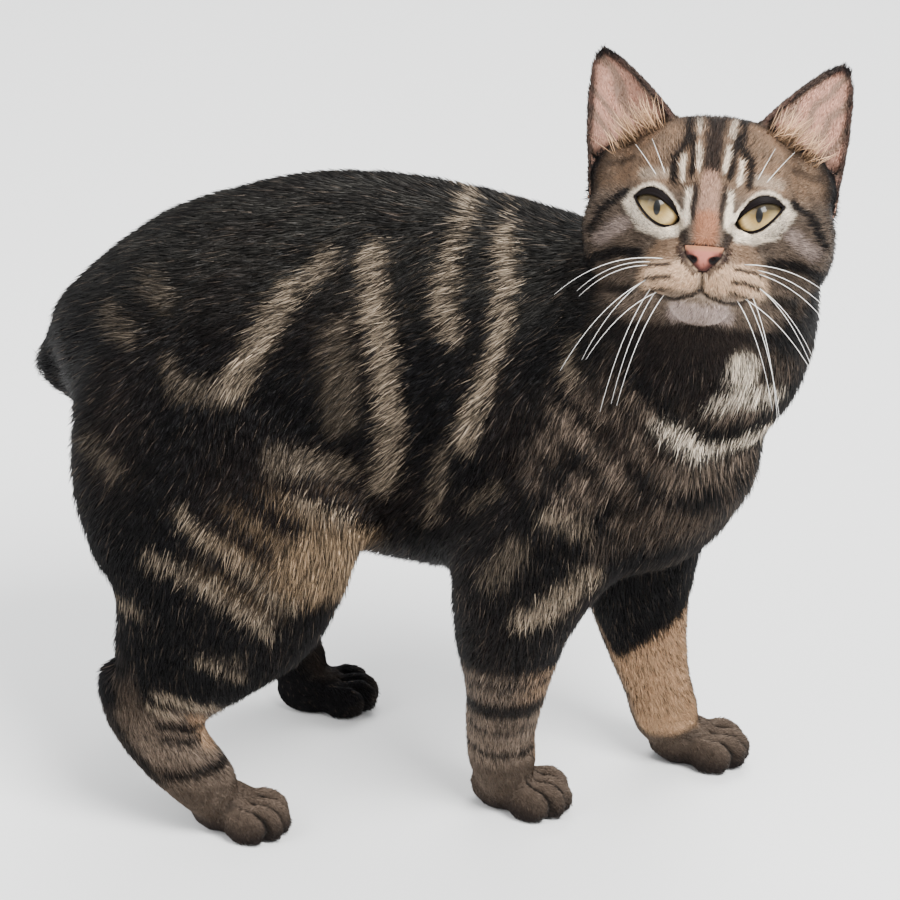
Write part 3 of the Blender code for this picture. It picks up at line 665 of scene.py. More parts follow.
def neck_colour(colour, points):
    """Dark and pale rings round the throat and chest, and a pale patch."""
    rough = 0.15 * wobble(points, 0.009, 13)
    side = points[:, [0, 2]] / CM + np.column_stack([rough, 0.15 * wobble(points, 0.009, 6)])
    area = 1 - ramp(line_distance(side, [(9.6, 23.0), (11.0, 17.0)]), 2.2, 3.6)
    mottle = ramp(wobble(points, 0.005, 7), -0.6, 0.7)
    colour = mix(colour, AGOUTI, 0.75 * area * mottle)
    right = 1 - 0.75 * ramp(points[:, 1] / CM, -3.5, -0.5)
    for tone, line, half_width, strength in NECK_MARKS:
        colour = mix(colour, tone, right * strength * band(side, line, half_width))
    return colour


def head_colour(points, fine):
    """The face: forehead stripes, pale eye rings, pink bridge, cream muzzle and cheek lines, with
    painted shade under the chin, below the mouth and behind the nose.
    """
    local = to_head(points)
    jitter = 0.03 * np.column_stack([fine, wobble(points, 0.004, 8)])
    flat = halved(local)[:, [0, 2]] + jitter
    ahead = ramp(local[:, 1], -0.6, 0.8)
    mottle = ramp(wobble(points, 0.0035, 9), -0.7, 0.7)
    brow = ramp(flat[:, 1], 0.2, 1.0)
    colour = mix(AGOUTI, GREY_BROWN, 0.2 + 0.6 * mottle)
    colour = mix(colour, BEIGE, brow * (0.4 + 0.45 * mottle))
    for tone, line, half_width, strength in FACE_MARKS:
        colour = mix(colour, tone, strength * band(flat, line, half_width))
    crown = np.sin(flat[:, 0] * 5.2 + 1.2) + 0.5 * fine
    colour = mix(colour, mix(BLACK, AGOUTI, ramp(crown, 0.1, 0.9)), 1 - ahead)
    # Painted shade under the chin: the throat below it is darkened.
    colour = mix(colour, DARK, 0.95 * ramp(-flat[:, 1], 4.1, 4.35))
    lip = 1 - ramp(mouth_gap(local), 0.03, 0.12)
    colour = mix(colour, DARK, 0.8 * lip * ahead)
    # Painted shade: the skin behind the nose leather, which shows through the nostrils, is made dark.
    colour = mix(colour, NOSE_DARK, (nose_gap(local) < 0.03) & (local[:, 1] > 2.4))
    return eye_rings(colour, local, ahead)


def eye_rings(colour, local, ahead):
    """Cream round the lids' opening, and a black edge that is wider on the upper lid."""
    gap = eye_gap(local)
    upper = ramp(local[:, 2], -0.1, 0.35)
    pale = 1 - ramp(gap, 0.26 - 0.06 * upper, 0.46 - 0.08 * upper)
    colour = mix(colour, CREAM, (1 - 0.3 * upper) * pale * ahead)
    rim = 0.11 * upper
    return mix(colour, LID_AND_SHADE_BLACK, (1 - ramp(gap, rim, rim + 0.06)) * ahead)


def ear_colour(points, normals):
    """Pink skin inside, brown grey outside, with dark edges and tips."""
    local = to_head(points)
    flat = halved(local)[:, [0, 2]]
    ahead = normals @ HEAD_AXES[1]
    across = np.sin((flat[:, 0] * 0.75 - flat[:, 1] * 0.6) * 9 + 1.5 * wobble(points, 0.006, 10))
    low = 1 - ramp(flat[:, 1], 2.2, 4.0)
    inner = mix(EAR_PINK, GREY_BROWN, 0.7 * ramp(across, -0.2, 0.8))
    inner = mix(inner, AGOUTI, 0.3 * low * ramp(wobble(points, 0.005, 15), -0.3, 0.5))
    outer = mix(AGOUTI, DARK, 0.4 + 0.4 * ramp(across, -0.4, 0.6))
    colour = mix(outer, inner, ramp(ahead, 0.0, 0.3))
    edge = 1 - ramp(line_distance(flat, EAR_EDGE), 0.12, 0.32)
    return mix(mix(colour, DARK, 0.9 * edge), BLACK, 0.9 * ramp(flat[:, 1], 5.3, 5.7))


def marks_and_painted_light(points, normals, labels):
    """The coat's colour at each point, with painted sheen and shade among the marks: the same for the
    skin and for the tufts on it.
    """
    fine = wobble(points, 0.003, 12)
    colour = neck_colour(body_colour(points, normals, labels), points)
    local = to_head(points)
    on_head = 1 - ramp(np.linalg.norm(local - np.array([0, 0.6, 0.2]), axis=1), 4.9, 5.7)
    on_head = np.where(REGIONS.chosen(labels, "head"), on_head, 0.0)
    colour = mix(colour, head_colour(points, fine), on_head)
    ears = REGIONS.chosen(labels, "ear")
    return np.where(ears[:, None], ear_colour(points, normals), colour)


def hollowness(skin):
    """How hollow the skin is at each point, from 0 to 1, such as between the toes."""
    points, _, normals = mesh_arrays(skin)
    relaxed = relax(points, mesh_edges(skin), np.ones(len(points)), 4)
    return ramp(((relaxed - points) * normals).sum(axis=1), 0.00004, 0.0003)


def relax(points, edges, share, passes):
    """Moves each point towards its neighbours' middle, by its share, several times over."""
    count = np.bincount(edges.ravel(), minlength=len(points))[:, None]
    first, second = edges[:, 0], edges[:, 1]
    for _ in range(passes):
        total = np.column_stack(
            [
                np.bincount(first, points[second, k], len(points))
                + np.bincount(second, points[first, k], len(points))
                for k in range(3)
            ]
        )
        points = points + 0.6 * share[:, None] * (total / count - points)
    return points


def fused_flesh():
    """All the flesh solids, grown until they meet, as one fine closed surface."""
    bm = bmesh.new()
    for name in FLESH + ["nose"]:
        bm.from_mesh(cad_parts[name].data)
    bmesh.ops.remove_doubles(bm, verts=bm.verts, dist=1e-6)
    bm.normal_update()
    moves = [(vert, vert.normal * SKIN_GROWTH) for vert in bm.verts]
    for vert, move in moves:
        vert.co += move
    skin = placed("skin", mesh_of(bm, "skin"))
    remesh = skin.modifiers.new("Fuse", "REMESH")
    remesh.mode = "VOXEL"
    remesh.voxel_size = SKIN_VOXEL
    return apply_modifiers(skin)


def mesh_edges(obj):
    """The numbers of the two points of each edge."""
    edges = np.empty(len(obj.data.edges) * 2, np.int32)
    obj.data.edges.foreach_get("vertices", edges)
    return edges.reshape(-1, 2)


def smoothing_share(points, labels):
    """How strongly each place is smoothed: much on the trunk, and little on face, ears and feet."""
    share = np.ones(len(points))
    for stem, strength in SMOOTHING.items():
        share[REGIONS.chosen(labels, stem)] = strength
    on_face = REGIONS.chosen(labels, "head") & (to_head(points)[:, 1] > FACE_FROM)
    share[on_face] = FACE_SMOOTHING
    return share


def thin_body(skin, labels):
    """Thins the skin away from the face, ears and feet, where the coat hides it."""
    plain = ~REGIONS.chosen(labels, "ear", "paw")
    points, _, _ = mesh_arrays(skin)
    local = to_head(points)
    plain &= np.linalg.norm(local - np.array([0, 1.6, -0.6]), axis=1) > 4.4
    group = skin.vertex_groups.new(name="plain")
    group.add(np.flatnonzero(plain).tolist(), 1.0, "REPLACE")
    fine = np.count_nonzero(~plain) * 2
    thin = skin.modifiers.new("Thin", "DECIMATE")
    thin.ratio = min(1.0, (fine + SKIN_TRIANGLES) / (len(points) * 2))
    thin.vertex_group = group.name
    apply_modifiers(skin)
    skin.vertex_groups.clear()


def make_skin():
    """One skin over the whole body, inside the solids by the depth of the coat."""
    skin = fused_flesh()
    points, _, _ = mesh_arrays(skin)
    labels = REGIONS.of(points)
    edges = mesh_edges(skin)
    points = relax(points, edges, smoothing_share(points, labels), SMOOTHING_PASSES)
    points = relax(points, edges, np.full(len(points), 0.5), 3)
    skin.data.vertices.foreach_set("co", points.ravel())
    skin.data.update()
    thin_body(skin, labels)
    points, _, normals = mesh_arrays(skin)
    labels = REGIONS.of(points)
    depth = SKIN_GROWTH + COAT_DEPTH * hair_length(points, labels)
    depth = np.where(REGIONS.chosen(labels, "ear"), SKIN_GROWTH + 0.0002, depth)
    points = points - normals * depth[:, None]
    points = carve_mouth(points, normals)
    points[:, 2] = np.maximum(points[:, 2], 0.0004)
    skin.data.vertices.foreach_set("co", points.ravel())
    skin.data.update()
    skin.data.shade_smooth()
    return skin


def carve_mouth(points, normals):
    """Presses in the line of the mouth, the groove up to the nose, and those between the toes."""
    local = to_head(points)
    ahead = (local[:, 1] > 1.6) & (nose_gap(local) > 0.02)
    press = np.exp(-((mouth_gap(local) / 0.09) ** 2)) * ahead * MOUTH_DEPTH
    press += np.exp(-((toe_gap(points) / 0.13) ** 2)) * TOE_DEPTH
    return points - normals * press[:, None]


def unwrap(points, labels):
    """Each point's place on a flat plan of the skin: every solid unrolled round its long axis."""
    flat = np.zeros((len(points), 2))
    for size, bottom, start, names in PLAN_ROWS:
        for number, name in enumerate(names):
            here = labels == REGIONS.names.index(name)
            low, high = (np.array(corner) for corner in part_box(name))
            long_axis = 0 if name == "torso" else 2
            others = [k for k in range(3) if k != long_axis]
            own = (points[here] - (low + high) / 2) / (high - low)
            turn = np.arctan2(own[:, others[0]], own[:, others[1]]) / (2 * math.pi) + 0.5
            rise = np.clip(own[:, long_axis] + 0.5, 0, 1)
            flat[here, 0] = start + size * (number + 0.03 + 0.94 * turn)
            flat[here, 1] = bottom + size * (0.03 + 0.94 * rise)
    return flat


def spread_roots(skin, rng):
    """Random places on the skin, closer together where the hair is shorter."""
    points, triangles, normals = mesh_arrays(skin)
    labels = REGIONS.of(points)
    corners = points[triangles]
    cross = np.cross(corners[:, 1] - corners[:, 0], corners[:, 2] - corners[:, 0])
    area = np.linalg.norm(cross, axis=1) / 2
    length = hair_length(points, labels)[triangles].mean(axis=1)
    few = REGIONS.chosen(labels, "paw", "ear")[triangles[:, 0]]
    layers = np.where(few, THIN_LAYERS, LAYERS)
    expected = area * layers / (tuft_width(length) * length / 2)
    count = int(expected.sum())
    chosen = rng.choice(len(triangles), count, p=expected / expected.sum())
    shares = rng.dirichlet((1, 1, 1), count)
    roots = (corners[chosen] * shares[:, :, None]).sum(axis=1)
    upward = (normals[triangles[chosen]] * shares[:, :, None]).sum(axis=1)
    upward /= np.linalg.norm(upward, axis=1, keepdims=True)
    hollow = (hollowness(skin)[triangles[chosen]] * shares).sum(axis=1)
    return roots, upward, labels[triangles[chosen, 0]], hollow


def tuft_width(length):
    """Longer tufts are wider. Both are in metres."""
    return TUFT_WIDTH[0] + TUFT_WIDTH[1] * length


def bare(roots, upward, labels, rng):
    """True where nothing grows: eyes, nose, lips, soles and most of the ears' insides."""
    local = to_head(roots)
    ahead = local[:, 1] > 0.4
    on_head = REGIONS.chosen(labels, "head")
    eye = np.array([EYE_SPACING / 2, EYE_FORWARD, 0.0])
    from_eye = np.linalg.norm(halved(local) - eye, axis=1)
    found = on_head & (from_eye < EYE_RADIUS + 0.07) & (eye_gap(local) < 0.2)
    found |= on_head & ahead & (eye_gap(local) < 0.08)
    found |= ahead & (nose_gap(local) < 0.05) & (local[:, 1] > 2.8)
    found |= on_head & ahead & (mouth_gap(local) < 0.045) & (local[:, 1] > 1.8)
    found |= (roots[:, 2] < 0.0016) & (upward[:, 2] < -0.5)
    ear_inside = REGIONS.chosen(labels, "ear") & (upward @ HEAD_AXES[1] > 0.15)
    found |= ear_inside & (rng.random(len(roots)) < 0.55)
    return found


def tuft_arrays(roots, upward, flow, length, width, rng):
    """Four points for each tuft, a thin three-sided spike that lies along the coat."""
    side = np.cross(upward, flow)
    twist = rng.normal(0, TUFT_STRAY[0], len(roots)) + TUFT_STRAY[1] * wobble(roots, 0.02, 14)
    flow = flow * np.cos(twist)[:, None] + side * np.sin(twist)[:, None]
    side = np.cross(upward, flow)
    lift = np.radians(rng.uniform(*TUFT_LIFT, len(roots)))
    along = flow * np.cos(lift)[:, None] + upward * np.sin(lift)[:, None]
    half = side * (width / 2)[:, None]
    foot = roots - upward * TUFT_SINK
    ridge = roots + upward * (width * 0.42)[:, None]
    tip = roots + along * length[:, None]
    return np.stack([foot + half, foot - half, ridge, tip], axis=1)


def make_coat(skin):
    """The coat as tufts over the skin, in pieces named for what they cover."""
    rng = np.random.default_rng(SEED)
    roots, upward, labels, hollow = spread_roots(skin, rng)
    keep = ~bare(roots, upward, labels, rng)
    roots, upward, labels, hollow = roots[keep], upward[keep], labels[keep], hollow[keep]
    flow = coat_flow(roots, upward, labels)
    length = hair_length(roots, labels)
    width = tuft_width(length)
    seen = roots + flow * length[:, None] * 0.5
    colours = ticked(seen, upward, labels, length, hollow, rng)
    own_length = length * rng.uniform(*TUFT_LENGTHS, len(roots))
    corners = tuft_arrays(roots, upward, flow, own_length, width, rng)
    places = unwrap(roots, labels)
    pieces = []
    for stem in ("torso", "neck", "head", "ear", "tail", "foreleg", "thigh", "hock", "paw"):
        chosen = np.flatnonzero(REGIONS.chosen(labels, stem))
        parts = max(1, math.ceil(len(chosen) / TUFTS_PER_PIECE))
        chosen = chosen[np.argsort(roots[chosen, 0], kind="stable")]
        for number, part in enumerate(np.array_split(chosen, parts), 1):
            name = f"coat_{stem}_{number}"
            pieces.append(coat_piece(name, corners[part], colours[part], places[part]))
    pieces.append(ear_hairs(rng))
    return pieces


def ticked(seen, upward, labels, length, hollow, rng):
    """The tufts' colours: the coat's pattern with its painted sheen and shade, mixed across their edges,
    with dark and pale flecks and painted shade in the skin's hollows.
    """
    long = ramp(length, 0.003, 0.008)
    blur = (0.07 + 0.12 * long) * length
    spots = seen + rng.normal(0, 1, seen.shape) * blur[:, None]
    colours = marks_and_painted_light(spots, upward, labels)
    tone = np.exp(rng.normal(0, 1, len(seen)) * (0.14 + 0.2 * long))
    tone *= np.where(rng.random(len(seen)) < 0.04 + 0.34 * long, 0.18, 1.0)
    # Painted shade: tufts in the skin's hollows, such as between the toes, are darker.
    tone *= (1 - 0.7 * hollow) * (1.25 - 0.25 * long)
    flecks = rng.random(len(seen)) < 0.03 + 0.05 * long
    return mix(colours, GREY_BROWN, 0.3 * flecks) * tone[:, None]


def ear_hairs(rng):
    """Long pale hairs that rise from each ear's inner edge and lie across its opening."""
    roots, flow, upward = [], [], []
    for side in (1, -1):
        for _ in range(EAR_HAIR_COUNT):
            share = rng.uniform(0, 1)
            x = 1.9 + 1.5 * share + rng.uniform(-0.15, 0.4)
            z = 2.85 + 0.25 * share - 0.9 * max(0.0, x - 2.4) + rng.uniform(-0.2, 0.2)
            roots.append(from_head((side * x, 0.55 - 0.5 * share, z)))
            turn = math.radians(rng.normal(56, 14))
            way = np.array([side * math.cos(turn), rng.uniform(-0.05, 0.2), math.sin(turn)])
            flow.append(way / np.linalg.norm(way) @ HEAD_AXES)
            upward.append(HEAD_AXES[1])
    roots, flow, upward = np.array(roots), np.array(flow), np.array(upward)
    length = rng.uniform(*EAR_HAIR_LENGTHS, len(roots))
    width = np.full(len(roots), EAR_HAIR_WIDTH)
    corners = tuft_arrays(roots, upward, flow, length, width, rng)
    tone = np.exp(rng.normal(-0.15, 0.3, (len(roots), 1)))
    labels = REGIONS.of(roots)
    return coat_piece("coat_ear_hairs", corners, PEACH * 1.25 * tone, unwrap(roots, labels))


def coat_piece(name, corners, colours, places):
    """One piece of the coat, with its colours, hair positions and places on the flat plan."""
    count = len(corners)
    steps = 4 * np.arange(count)[:, None, None]
    triangles = (TUFT_FACES[None] + steps).reshape(-1, 3)
    piece = triangle_object(name, corners.reshape(-1, 3), triangles)
    shades = colours[:, None, :] * ROOT_TONE[None, :, None]
    paint_points(piece, shades.reshape(-1, 3))
    along = piece.data.attributes.new("along", "FLOAT", "POINT")
    along.data.foreach_set("value", np.tile(TUFT_ALONG, count).astype(np.float32))
    patches = places[:, None, :] + TUFT_PATCH[None]
    spots = patches.reshape(-1, 2)[triangles.ravel()]
    plan = piece.data.uv_layers.new(name="OFBake")
    plan.uv.foreach_set("vector", np.ascontiguousarray(spots, np.float32).ravel())
    return piece


class Shader:
    """A short way to build a material's nodes."""

    def __init__(self, name):
        self.material = bpy.data.materials.new(name)
        self.material.use_nodes = True
        self.tree = self.material.node_tree
        self.main = self.tree.nodes["Principled BSDF"]

    def node(self, kind, inputs=(), **settings):
        made = self.tree.nodes.new(kind)
        for key, value in settings.items():
            setattr(made, key, value)
        for socket, value in dict(inputs).items():
            if isinstance(value, bpy.types.NodeSocket):
                self.tree.links.new(value, made.inputs[socket])
            else:
                made.inputs[socket].default_value = value
        return made

    def maths(self, operation, first, second):
        return self.node("ShaderNodeMath", {0: first, 1: second}, operation=operation).outputs[0]

    def scaled(self, colour, factor):
        inputs = {0: colour, "Scale": factor}
        return self.node("ShaderNodeVectorMath", inputs, operation="SCALE").outputs["Vector"]

    def spread(self, value, source, target):
        """The value moved from the source range to the target range, and kept within it."""
        inputs = {"Value": value, "From Min": source[0], "From Max": source[1]}
        inputs.update({"To Min": target[0], "To Max": target[1]})
        return self.node("ShaderNodeMapRange", inputs).outputs["Result"]

    def tones(self, value, stops):
        """The value as a colour, between the colours at the stops."""
        made = self.node("ShaderNodeValToRGB", {0: value})
        elements = made.color_ramp.elements
        while len(elements) > 1:
            elements.remove(elements[-1])
        for index, (place, colour) in enumerate(stops):
            stop = elements[0] if index == 0 else elements.new(place)
            stop.position = place
            stop.color = (*colour, 1.0)
        return made.outputs["Color"]

    def bump(self, height, distance, strength):
        inputs = {"Height": height, "Distance": distance, "Strength": strength}
        self.link(self.node("ShaderNodeBump", inputs).outputs["Normal"], "Normal")

    def link(self, output, socket):
        self.tree.links.new(output, self.main.inputs[socket])

    def set(self, **values):
        for key, value in values.items():
            self.main.inputs[key.replace("_", " ")].default_value = value


def marked_material(name, roughness, specular, grain, bump, ticking=False):
    """A material with the coat's pattern and its painted sheen and shade, a fine uneven tone and a fine
    bump.
    """
    shader = Shader(name)
    colour = shader.node("ShaderNodeAttribute", attribute_name="marks_and_painted_light").outputs["Color"]
    noise = shader.node("ShaderNodeTexNoise", {"Scale": grain, "Detail": 3.0}).outputs["Fac"]
    if ticking:
        colour = ticked_colour(shader, colour)
    uneven = shader.spread(noise, (0, 1), (0.72, 1.3))
    shader.link(shader.scaled(colour, uneven), "Base Color")
    shader.bump(noise, 0.0004, bump)
    shader.set(Roughness=roughness, Specular_IOR_Level=specular)
    return shader.material


def ticked_colour(shader, colour):
    """Dark roots and tips with a bright band between them, as in a wild-coloured hair."""
    along = shader.node("ShaderNodeAttribute", attribute_name="along").outputs["Fac"]
    tones = shader.tones(along, [(place, (tone, tone, tone)) for place, tone in HAIR_TONES])
    inputs = {0: colour, 1: tones}
    return shader.node("ShaderNodeVectorMath", inputs, operation="MULTIPLY").outputs["Vector"]


def speckled_material(name, grain, stops, detail=2.0, **settings):
    """A material of two close tones that mix in a fine grain."""
    shader = Shader(name)
    noise = shader.node("ShaderNodeTexNoise", {"Scale": grain, "Detail": detail})
    shader.link(shader.tones(noise.outputs["Fac"], stops), "Base Color")
    shader.set(**settings)
    return shader.material


def nose_material():
    """Moist pink leather with a fine pebbled grain, darker at its edges, with painted shade in the
    nostrils.
    """
    shader = Shader("nose_leather")
    colour = shader.node("ShaderNodeAttribute", attribute_name="marks_and_painted_light")
    cells = shader.node("ShaderNodeTexVoronoi", {"Scale": 1900.0})
    shader.link(colour.outputs["Color"], "Base Color")
    shader.bump(cells.outputs["Distance"], 0.0003, 0.5)
    shader.set(Roughness=0.5, Specular_IOR_Level=0.12)
    return shader.material


def eye_material():
    """A yellow green iris with fine fibres, painted shadow from the upper lid above, a dark rim and an
    upright pupil.
    """
    shader = Shader("iris_and_pupil")
    place = shader.node("ShaderNodeTexCoord")
    parts = shader.node("ShaderNodeSeparateXYZ", {0: place.outputs["Object"]}).outputs
    flat = shader.node("ShaderNodeCombineXYZ", {0: parts["X"], 1: parts["Y"], 2: 0.0}).outputs[0]
    reach = shader.node("ShaderNodeVectorMath", {0: flat}, operation="LENGTH").outputs["Value"]
    angle = shader.maths("ARCTAN2", parts["Y"], parts["X"])
    fan = shader.node("ShaderNodeCombineXYZ", {0: angle, 1: reach, 2: 0.0}).outputs[0]
    fibres = shader.node("ShaderNodeTexNoise", {0: fan, "Scale": 9.0, "Detail": 4.0})
    rings = shader.tones(shader.maths("MULTIPLY", reach, 1 / CM), IRIS_TONES)
    streaks = shader.spread(fibres.outputs["Fac"], (0, 1), (0.6, 1.3))
    # Painted shadow: the iris darkens towards the top, where the upper lid overhangs it.
    shade = shader.spread(parts["Y"], (-0.002, 0.0025), (1.08, 0.06))
    iris = shader.scaled(rings, shader.maths("MULTIPLY", streaks, shade))
    mixed = shader.node("ShaderNodeMix", {"Factor": pupil_mask(shader, flat)}, data_type="RGBA")
    shader.tree.links.new(iris, mixed.inputs["A"])
    mixed.inputs["B"].default_value = EYE_BLACK
    colour = [s for s in mixed.outputs if s.type == "RGBA"][0]
    shader.link(colour, "Base Color")
    shader.set(Roughness=0.4, Specular_IOR_Level=0.1, Coat_Weight=0.35, Coat_Roughness=0.02)
    return shader.material


def pupil_mask(shader, flat):
    """1 inside an upright oval and 0 outside it."""
    stretch = (1 / (PUPIL[0] * CM), 1 / (PUPIL[1] * CM), 1.0)
    oval = shader.node("ShaderNodeVectorMath", {0: flat, 1: stretch}, operation="MULTIPLY")
    size = shader.node("ShaderNodeVectorMath", {0: oval.outputs[0]}, operation="LENGTH")
    return shader.spread(size.outputs["Value"], (1.1, 0.9), (0, 1))


def make_eye(name):
    """A ball with a raised clear dome in front, which looks a little down."""
    low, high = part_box(name)
    centre = (low + high) / 2
    bm = bmesh.new()
    bmesh.ops.create_uvsphere(bm, u_segments=64, v_segments=48, radius=EYE_RADIUS * CM)
    for vert in bm.verts:
        off = vert.co.xy.length / CM
        if vert.co.z > 0 and off < DOME[0]:
            vert.co.z += DOME[1] * CM * (1 - (off / DOME[0]) ** 2)
    mesh = mesh_of(bm, name)
    mesh.shade_smooth()
    eye = placed(f"{name}_ball", mesh)
    right, forward, above = (Vector(axis) for axis in HEAD_AXES)
    tilt = Matrix.Rotation(math.radians(-EYE_TILT), 3, right)
    look = Matrix((right * -1, tilt @ above, tilt @ forward)).transposed().to_4x4()
    look.translation = centre - forward * 0.02 * CM
    eye.matrix_world = look
    mesh.materials.append(eye_material())
    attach(eye, "root")
    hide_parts(name)
    return eye


def tube(path, radii, sides=8, closed=False):
    """The points and triangles of a round tube along a path."""
    path = np.asarray(path, float)
    if closed:
        along = np.roll(path, -1, axis=0) - np.roll(path, 1, axis=0)
    else:
        along = np.gradient(path, axis=0)
    along /= np.linalg.norm(along, axis=1, keepdims=True)
    across = np.cross(along, HEAD_AXES[1] + 0.01)
    across /= np.linalg.norm(across, axis=1, keepdims=True)
    over = np.cross(along, across)
    turns = np.linspace(0, 2 * math.pi, sides, endpoint=False)
    ring = np.cos(turns)[None, :, None] * across[:, None] + np.sin(turns)[None, :, None] * over[:, None]
    points = path[:, None] + ring * np.asarray(radii)[:, None, None]
    triangles = []
    count = len(path)
    for i in range(count if closed else count - 1):
        for k in range(sides):
            a, b = i * sides + k, i * sides + (k + 1) % sides
            c, d = (b + sides) % (count * sides), (a + sides) % (count * sides)
            triangles += [(a, d, b), (b, d, c)]
    points = points.reshape(-1, 3)
    if not closed:
        points = np.vstack([points, path[:1], path[-1:]])
        ends = len(points) - 2, len(points) - 1
        last = (count - 1) * sides
        for k in range(sides):
            n = (k + 1) % sides
            triangles += [(k, n, ends[0]), (last + n, last + k, ends[1])]
    return points, np.array(triangles)


def make_lids():
    """The bare dark lids, from the edge of the skin to their rims, close over the eyeball."""
    steps, levels = 40, 5
    for side, name in ((1, "right"), (-1, "left")):
        rows = np.array(
            [[lid_point(side, k, steps, t) for k in range(2 * steps)] for t in np.linspace(0, 1, levels)]
        )
        cells = []
        for row in range(levels - 1):
            for k in range(2 * steps):
                a, b = row * 2 * steps + k, row * 2 * steps + (k + 1) % (2 * steps)
                cells += [(a, b, a + 2 * steps), (b, b + 2 * steps, a + 2 * steps)]
        arch = np.sin(np.linspace(0, 2 * math.pi, 2 * steps, endpoint=False))
        radii = (0.022 + 0.03 * np.maximum(arch, 0)) * CM
        rim, rim_cells = tube(from_head(rows[0]), radii, closed=True)
        points = np.vstack([from_head(rows.reshape(-1, 3)), rim])
        triangles = np.vstack([cells, rim_cells + 2 * steps * levels])
        lid = triangle_object(f"lid_{name}", points, triangles)
        lid.data.shade_smooth()
        lid.data.materials.append(
            speckled_material("lid_rim", 800.0, LID_TONES, Roughness=0.5, Specular_IOR_Level=0.05)
        )
        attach(lid, "root")


def lid_point(side, step, steps, out):
    """A point of the lids: out is 0 at the rim and 1 at the skin. The upper lid comes first."""
    (x0, z0), (x1, z1) = EYE_CORNERS
    lid = 0 if step < steps else 1
    share = step / steps if lid == 0 else 2 - step / steps
    height = LID_EDGES[lid] + (LID_HEIGHTS[lid] + 0.08 - LID_EDGES[lid]) * out
    arch = math.sin(math.pi * share) ** 0.8 * height * (1 if lid == 0 else -1)
    x = x0 + (x1 - x0) * share + 0.08 * out * (2 * share - 1)
    z = z0 + (z1 - z0) * share + arch
    radius = 1.07 + 0.05 * out
    off = math.hypot(x - EYE_SPACING / 2, z)
    return side * x, EYE_FORWARD + math.sqrt(max(0.1, radius**2 - off**2)), z


def make_nose():
    """The nose leather: the solid's shape, rounded, with painted shade in its nostrils."""
    bm = bmesh.new()
    bm.from_mesh(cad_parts["nose"].data)
    bmesh.ops.remove_doubles(bm, verts=bm.verts, dist=1e-6)
    nose = placed("nose_leather", mesh_of(bm, "nose_leather"))
    remesh = nose.modifiers.new("Fine", "REMESH")
    remesh.mode = "VOXEL"
    remesh.voxel_size = 0.0003
    apply_modifiers(nose)
    points, _, _ = mesh_arrays(nose)
    points = relax(points, mesh_edges(nose), np.full(len(points), 0.7), 7)
    nose.data.vertices.foreach_set("co", points.ravel())
    nose.data.shade_smooth()
    local = to_head(points)
    wing = ramp(-local[:, 2], 1.5, 1.8)
    rim = 1 - ramp(-nose_gap(local), 0.05, 0.14 + 0.18 * wing)
    rim = np.maximum(rim, wing * ramp(np.abs(local[:, 0]), 0.24, 0.5))
    colour = mix(NOSE_PINK, NOSE_DARK, 0.9 * rim)
    # Painted shade in the nostrils: dark ovals on the leather.
    hole = np.hypot((np.abs(local[:, 0]) - 0.48) / 0.3, (local[:, 2] + 1.92) / 0.16)
    colour = mix(colour, LID_AND_SHADE_BLACK, 1 - ramp(hole, 0.8, 1.3))
    colour = mix(colour, BRIDGE_TAN, 0.9 * ramp(local[:, 2], -1.66, -1.5))
    paint_points(nose, colour)
    nose.data.materials.append(nose_material())
    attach(nose, "root")
    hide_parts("nose")
    return nose


def skin_tree(skin):
    points, triangles, _ = mesh_arrays(skin)
    return BVHTree.FromPolygons(points.tolist(), triangles.tolist())


def whisker_path(root, sideways, lean, length, droop):
    """A hair that leaves the pad sideways, and bends down and back under its own weight."""
    steps = np.linspace(0, 1, 12)
    angle = math.radians(lean)
    start = np.array([sideways * math.cos(angle), 0.12, math.sin(angle)])
    start /= np.linalg.norm(start)
    reach = steps[:, None] * length * start
    fall = steps[:, None] ** 2 * length * droop * np.array([-0.25 * sideways, -0.3, -0.9])
    return root + reach + fall


def make_whiskers(skin):
    """White whiskers in three rows on each pad, and a few above each eye."""
    tree = skin_tree(skin)
    rng = np.random.default_rng(SEED + 1)
    for sideways, name in ((1, "right"), (-1, "left")):
        all_points, all_triangles, offset = [], [], 0
        hairs = []
        for row in range(3):
            for column in range(3):
                root = (sideways * (1.25 + 0.35 * column), 3.1 - 0.4 * column, -2.2 - 0.42 * row)
                lean = 2 - 26 * row - 6 * column + rng.normal(0, 4)
                hairs.append((root, lean, rng.uniform(*WHISKER_LENGTHS) - 0.25 * column, 0.45))
        for column in range(2):
            root = (sideways * (1.7 + 0.35 * column), 2.3, 1.2)
            hairs.append((root, 66 - 12 * column, rng.uniform(*BROW_LENGTHS), 0.12))
        for root, lean, length, droop in hairs:
            spot = tree.find_nearest(Vector(from_head(root)))[0]
            path = whisker_path(to_head(np.array(spot)), sideways, lean, length, droop)
            radii = np.linspace(*WHISKER_RADII, len(path)) * CM
            points, triangles = tube(from_head(path), radii, sides=6)
            all_points.append(points)
            all_triangles.append(triangles + offset)
            offset += len(points)
        piece = triangle_object(f"whiskers_{name}", np.vstack(all_points), np.vstack(all_triangles))
        piece.data.shade_smooth()
        piece.data.materials.append(
            speckled_material("whisker", 300.0, WHISKER_TONES, Roughness=0.3)
        )
        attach(piece, "root")


def make_floor():
    """A plain pale floor."""
    bm = bmesh.new()
    bmesh.ops.create_grid(bm, x_segments=2, y_segments=2, size=6.0)
    floor = placed("floor", mesh_of(bm, "floor"))
    floor.data.materials.append(
        speckled_material("pale_floor", 3.0, FLOOR_TONES, detail=4.0, Roughness=0.9)
    )


def direction(azimuth, elevation):
    """The way from the model towards a place at this azimuth and elevation, in degrees."""
    turn, rise = math.radians(azimuth), math.radians(elevation)
    return Vector(
        (math.sin(turn) * math.cos(rise), -math.cos(turn) * math.cos(rise), math.sin(rise))
    )


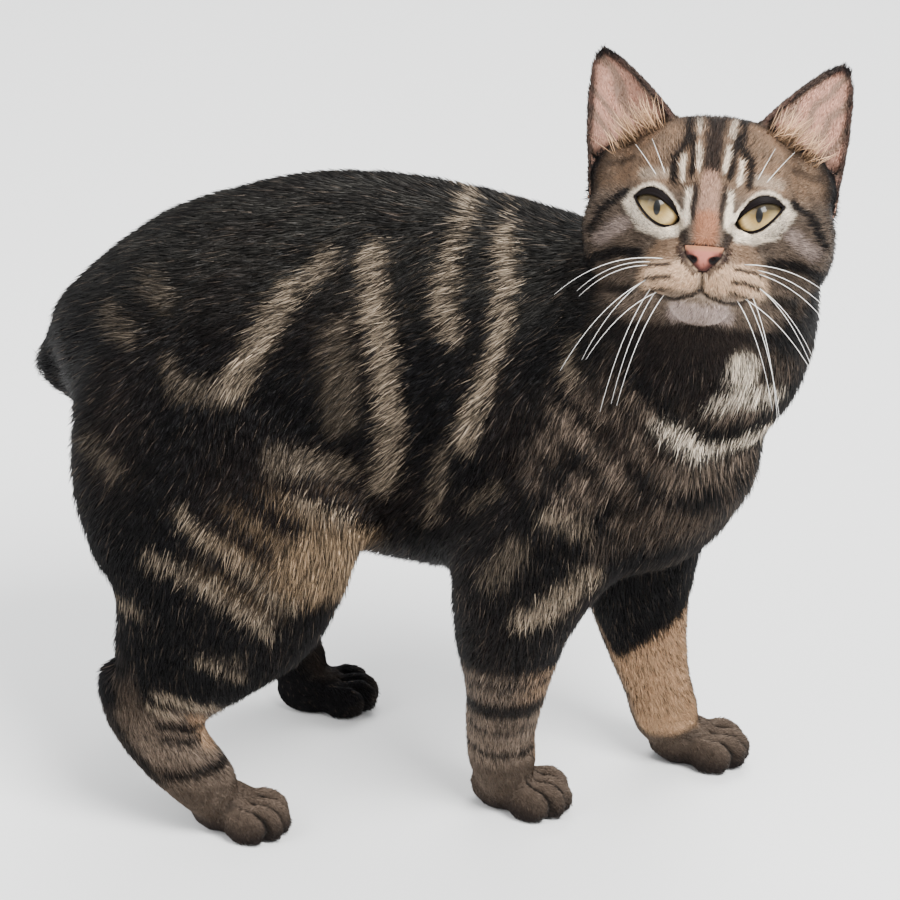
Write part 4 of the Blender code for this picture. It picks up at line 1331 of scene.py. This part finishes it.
def make_lights():
    """Soft light from above and in front, a weaker fill, and a bright even surround."""
    for name, (azimuth, elevation, distance, size, power) in LIGHTS.items():
        data = bpy.data.lights.new(name, "AREA")
        data.size = size
        data.energy = power
        light = placed(name, data)
        away = direction(azimuth, elevation)
        light.matrix_world = away.to_track_quat("Z", "Y").to_matrix().to_4x4()
        light.location = LIGHT_AIM + away * distance
    world = bpy.data.worlds.new("studio")
    bpy.context.scene.world = world
    world.use_nodes = True
    surround = world.node_tree.nodes["Background"]
    surround.inputs["Color"].default_value = SURROUND
    surround.inputs["Strength"].default_value = SURROUND_STRENGTH


def make_camera():
    """A camera that shows the point between the eyes where the photograph does."""
    back = direction(VIEW_AZIMUTH, VIEW_ELEVATION)
    turn = math.radians(VIEW_AZIMUTH)
    right = Vector((math.cos(turn), math.sin(turn), 0))
    above = back.cross(right)
    data = bpy.data.cameras.new("camera")
    data.lens = LENS
    data.sensor_width = SENSOR
    data.clip_start = 0.05
    centre = IMAGE_WIDTH / 2
    depth = EYES_DEPTH * CM
    per_pixel = SENSOR / LENS / IMAGE_WIDTH * depth
    place = Vector(from_head((0.0, EYE_FORWARD, 0.0))) + back * depth
    place -= right * (EYES_PIXEL[0] - centre) * per_pixel
    place -= above * (centre - EYES_PIXEL[1]) * per_pixel
    camera = placed("camera", data)
    camera.matrix_world = Matrix((right, above, back)).transposed().to_4x4()
    camera.location = place
    bpy.context.scene.camera = camera


def main():
    make_camera()
    make_lights()
    make_floor()
    skin = make_skin()
    points, _, normals = mesh_arrays(skin)
    # Painted shade: the skin under the coat is darkened throughout, and more in its hollows such as
    # between the toes.
    shade = 0.7 * (1 - 0.7 * hollowness(skin))
    paint_points(skin, marks_and_painted_light(points, normals, REGIONS.of(points)) * shade[:, None])
    skin.data.materials.clear()
    skin.data.materials.append(marked_material("skin_under_coat", 0.75, 0.1, 1400.0, 0.6))
    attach(skin, "root")
    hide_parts(*FLESH)
    fur = marked_material("short_coat", 0.5, 0.16, 900.0, 0.15, ticking=True)
    for piece in make_coat(skin):
        piece.data.materials.append(fur)
        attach(piece, "root")
    for name in ("eye_left", "eye_right"):
        make_eye(name)
    make_lids()
    make_nose()
    make_whiskers(skin)


main()
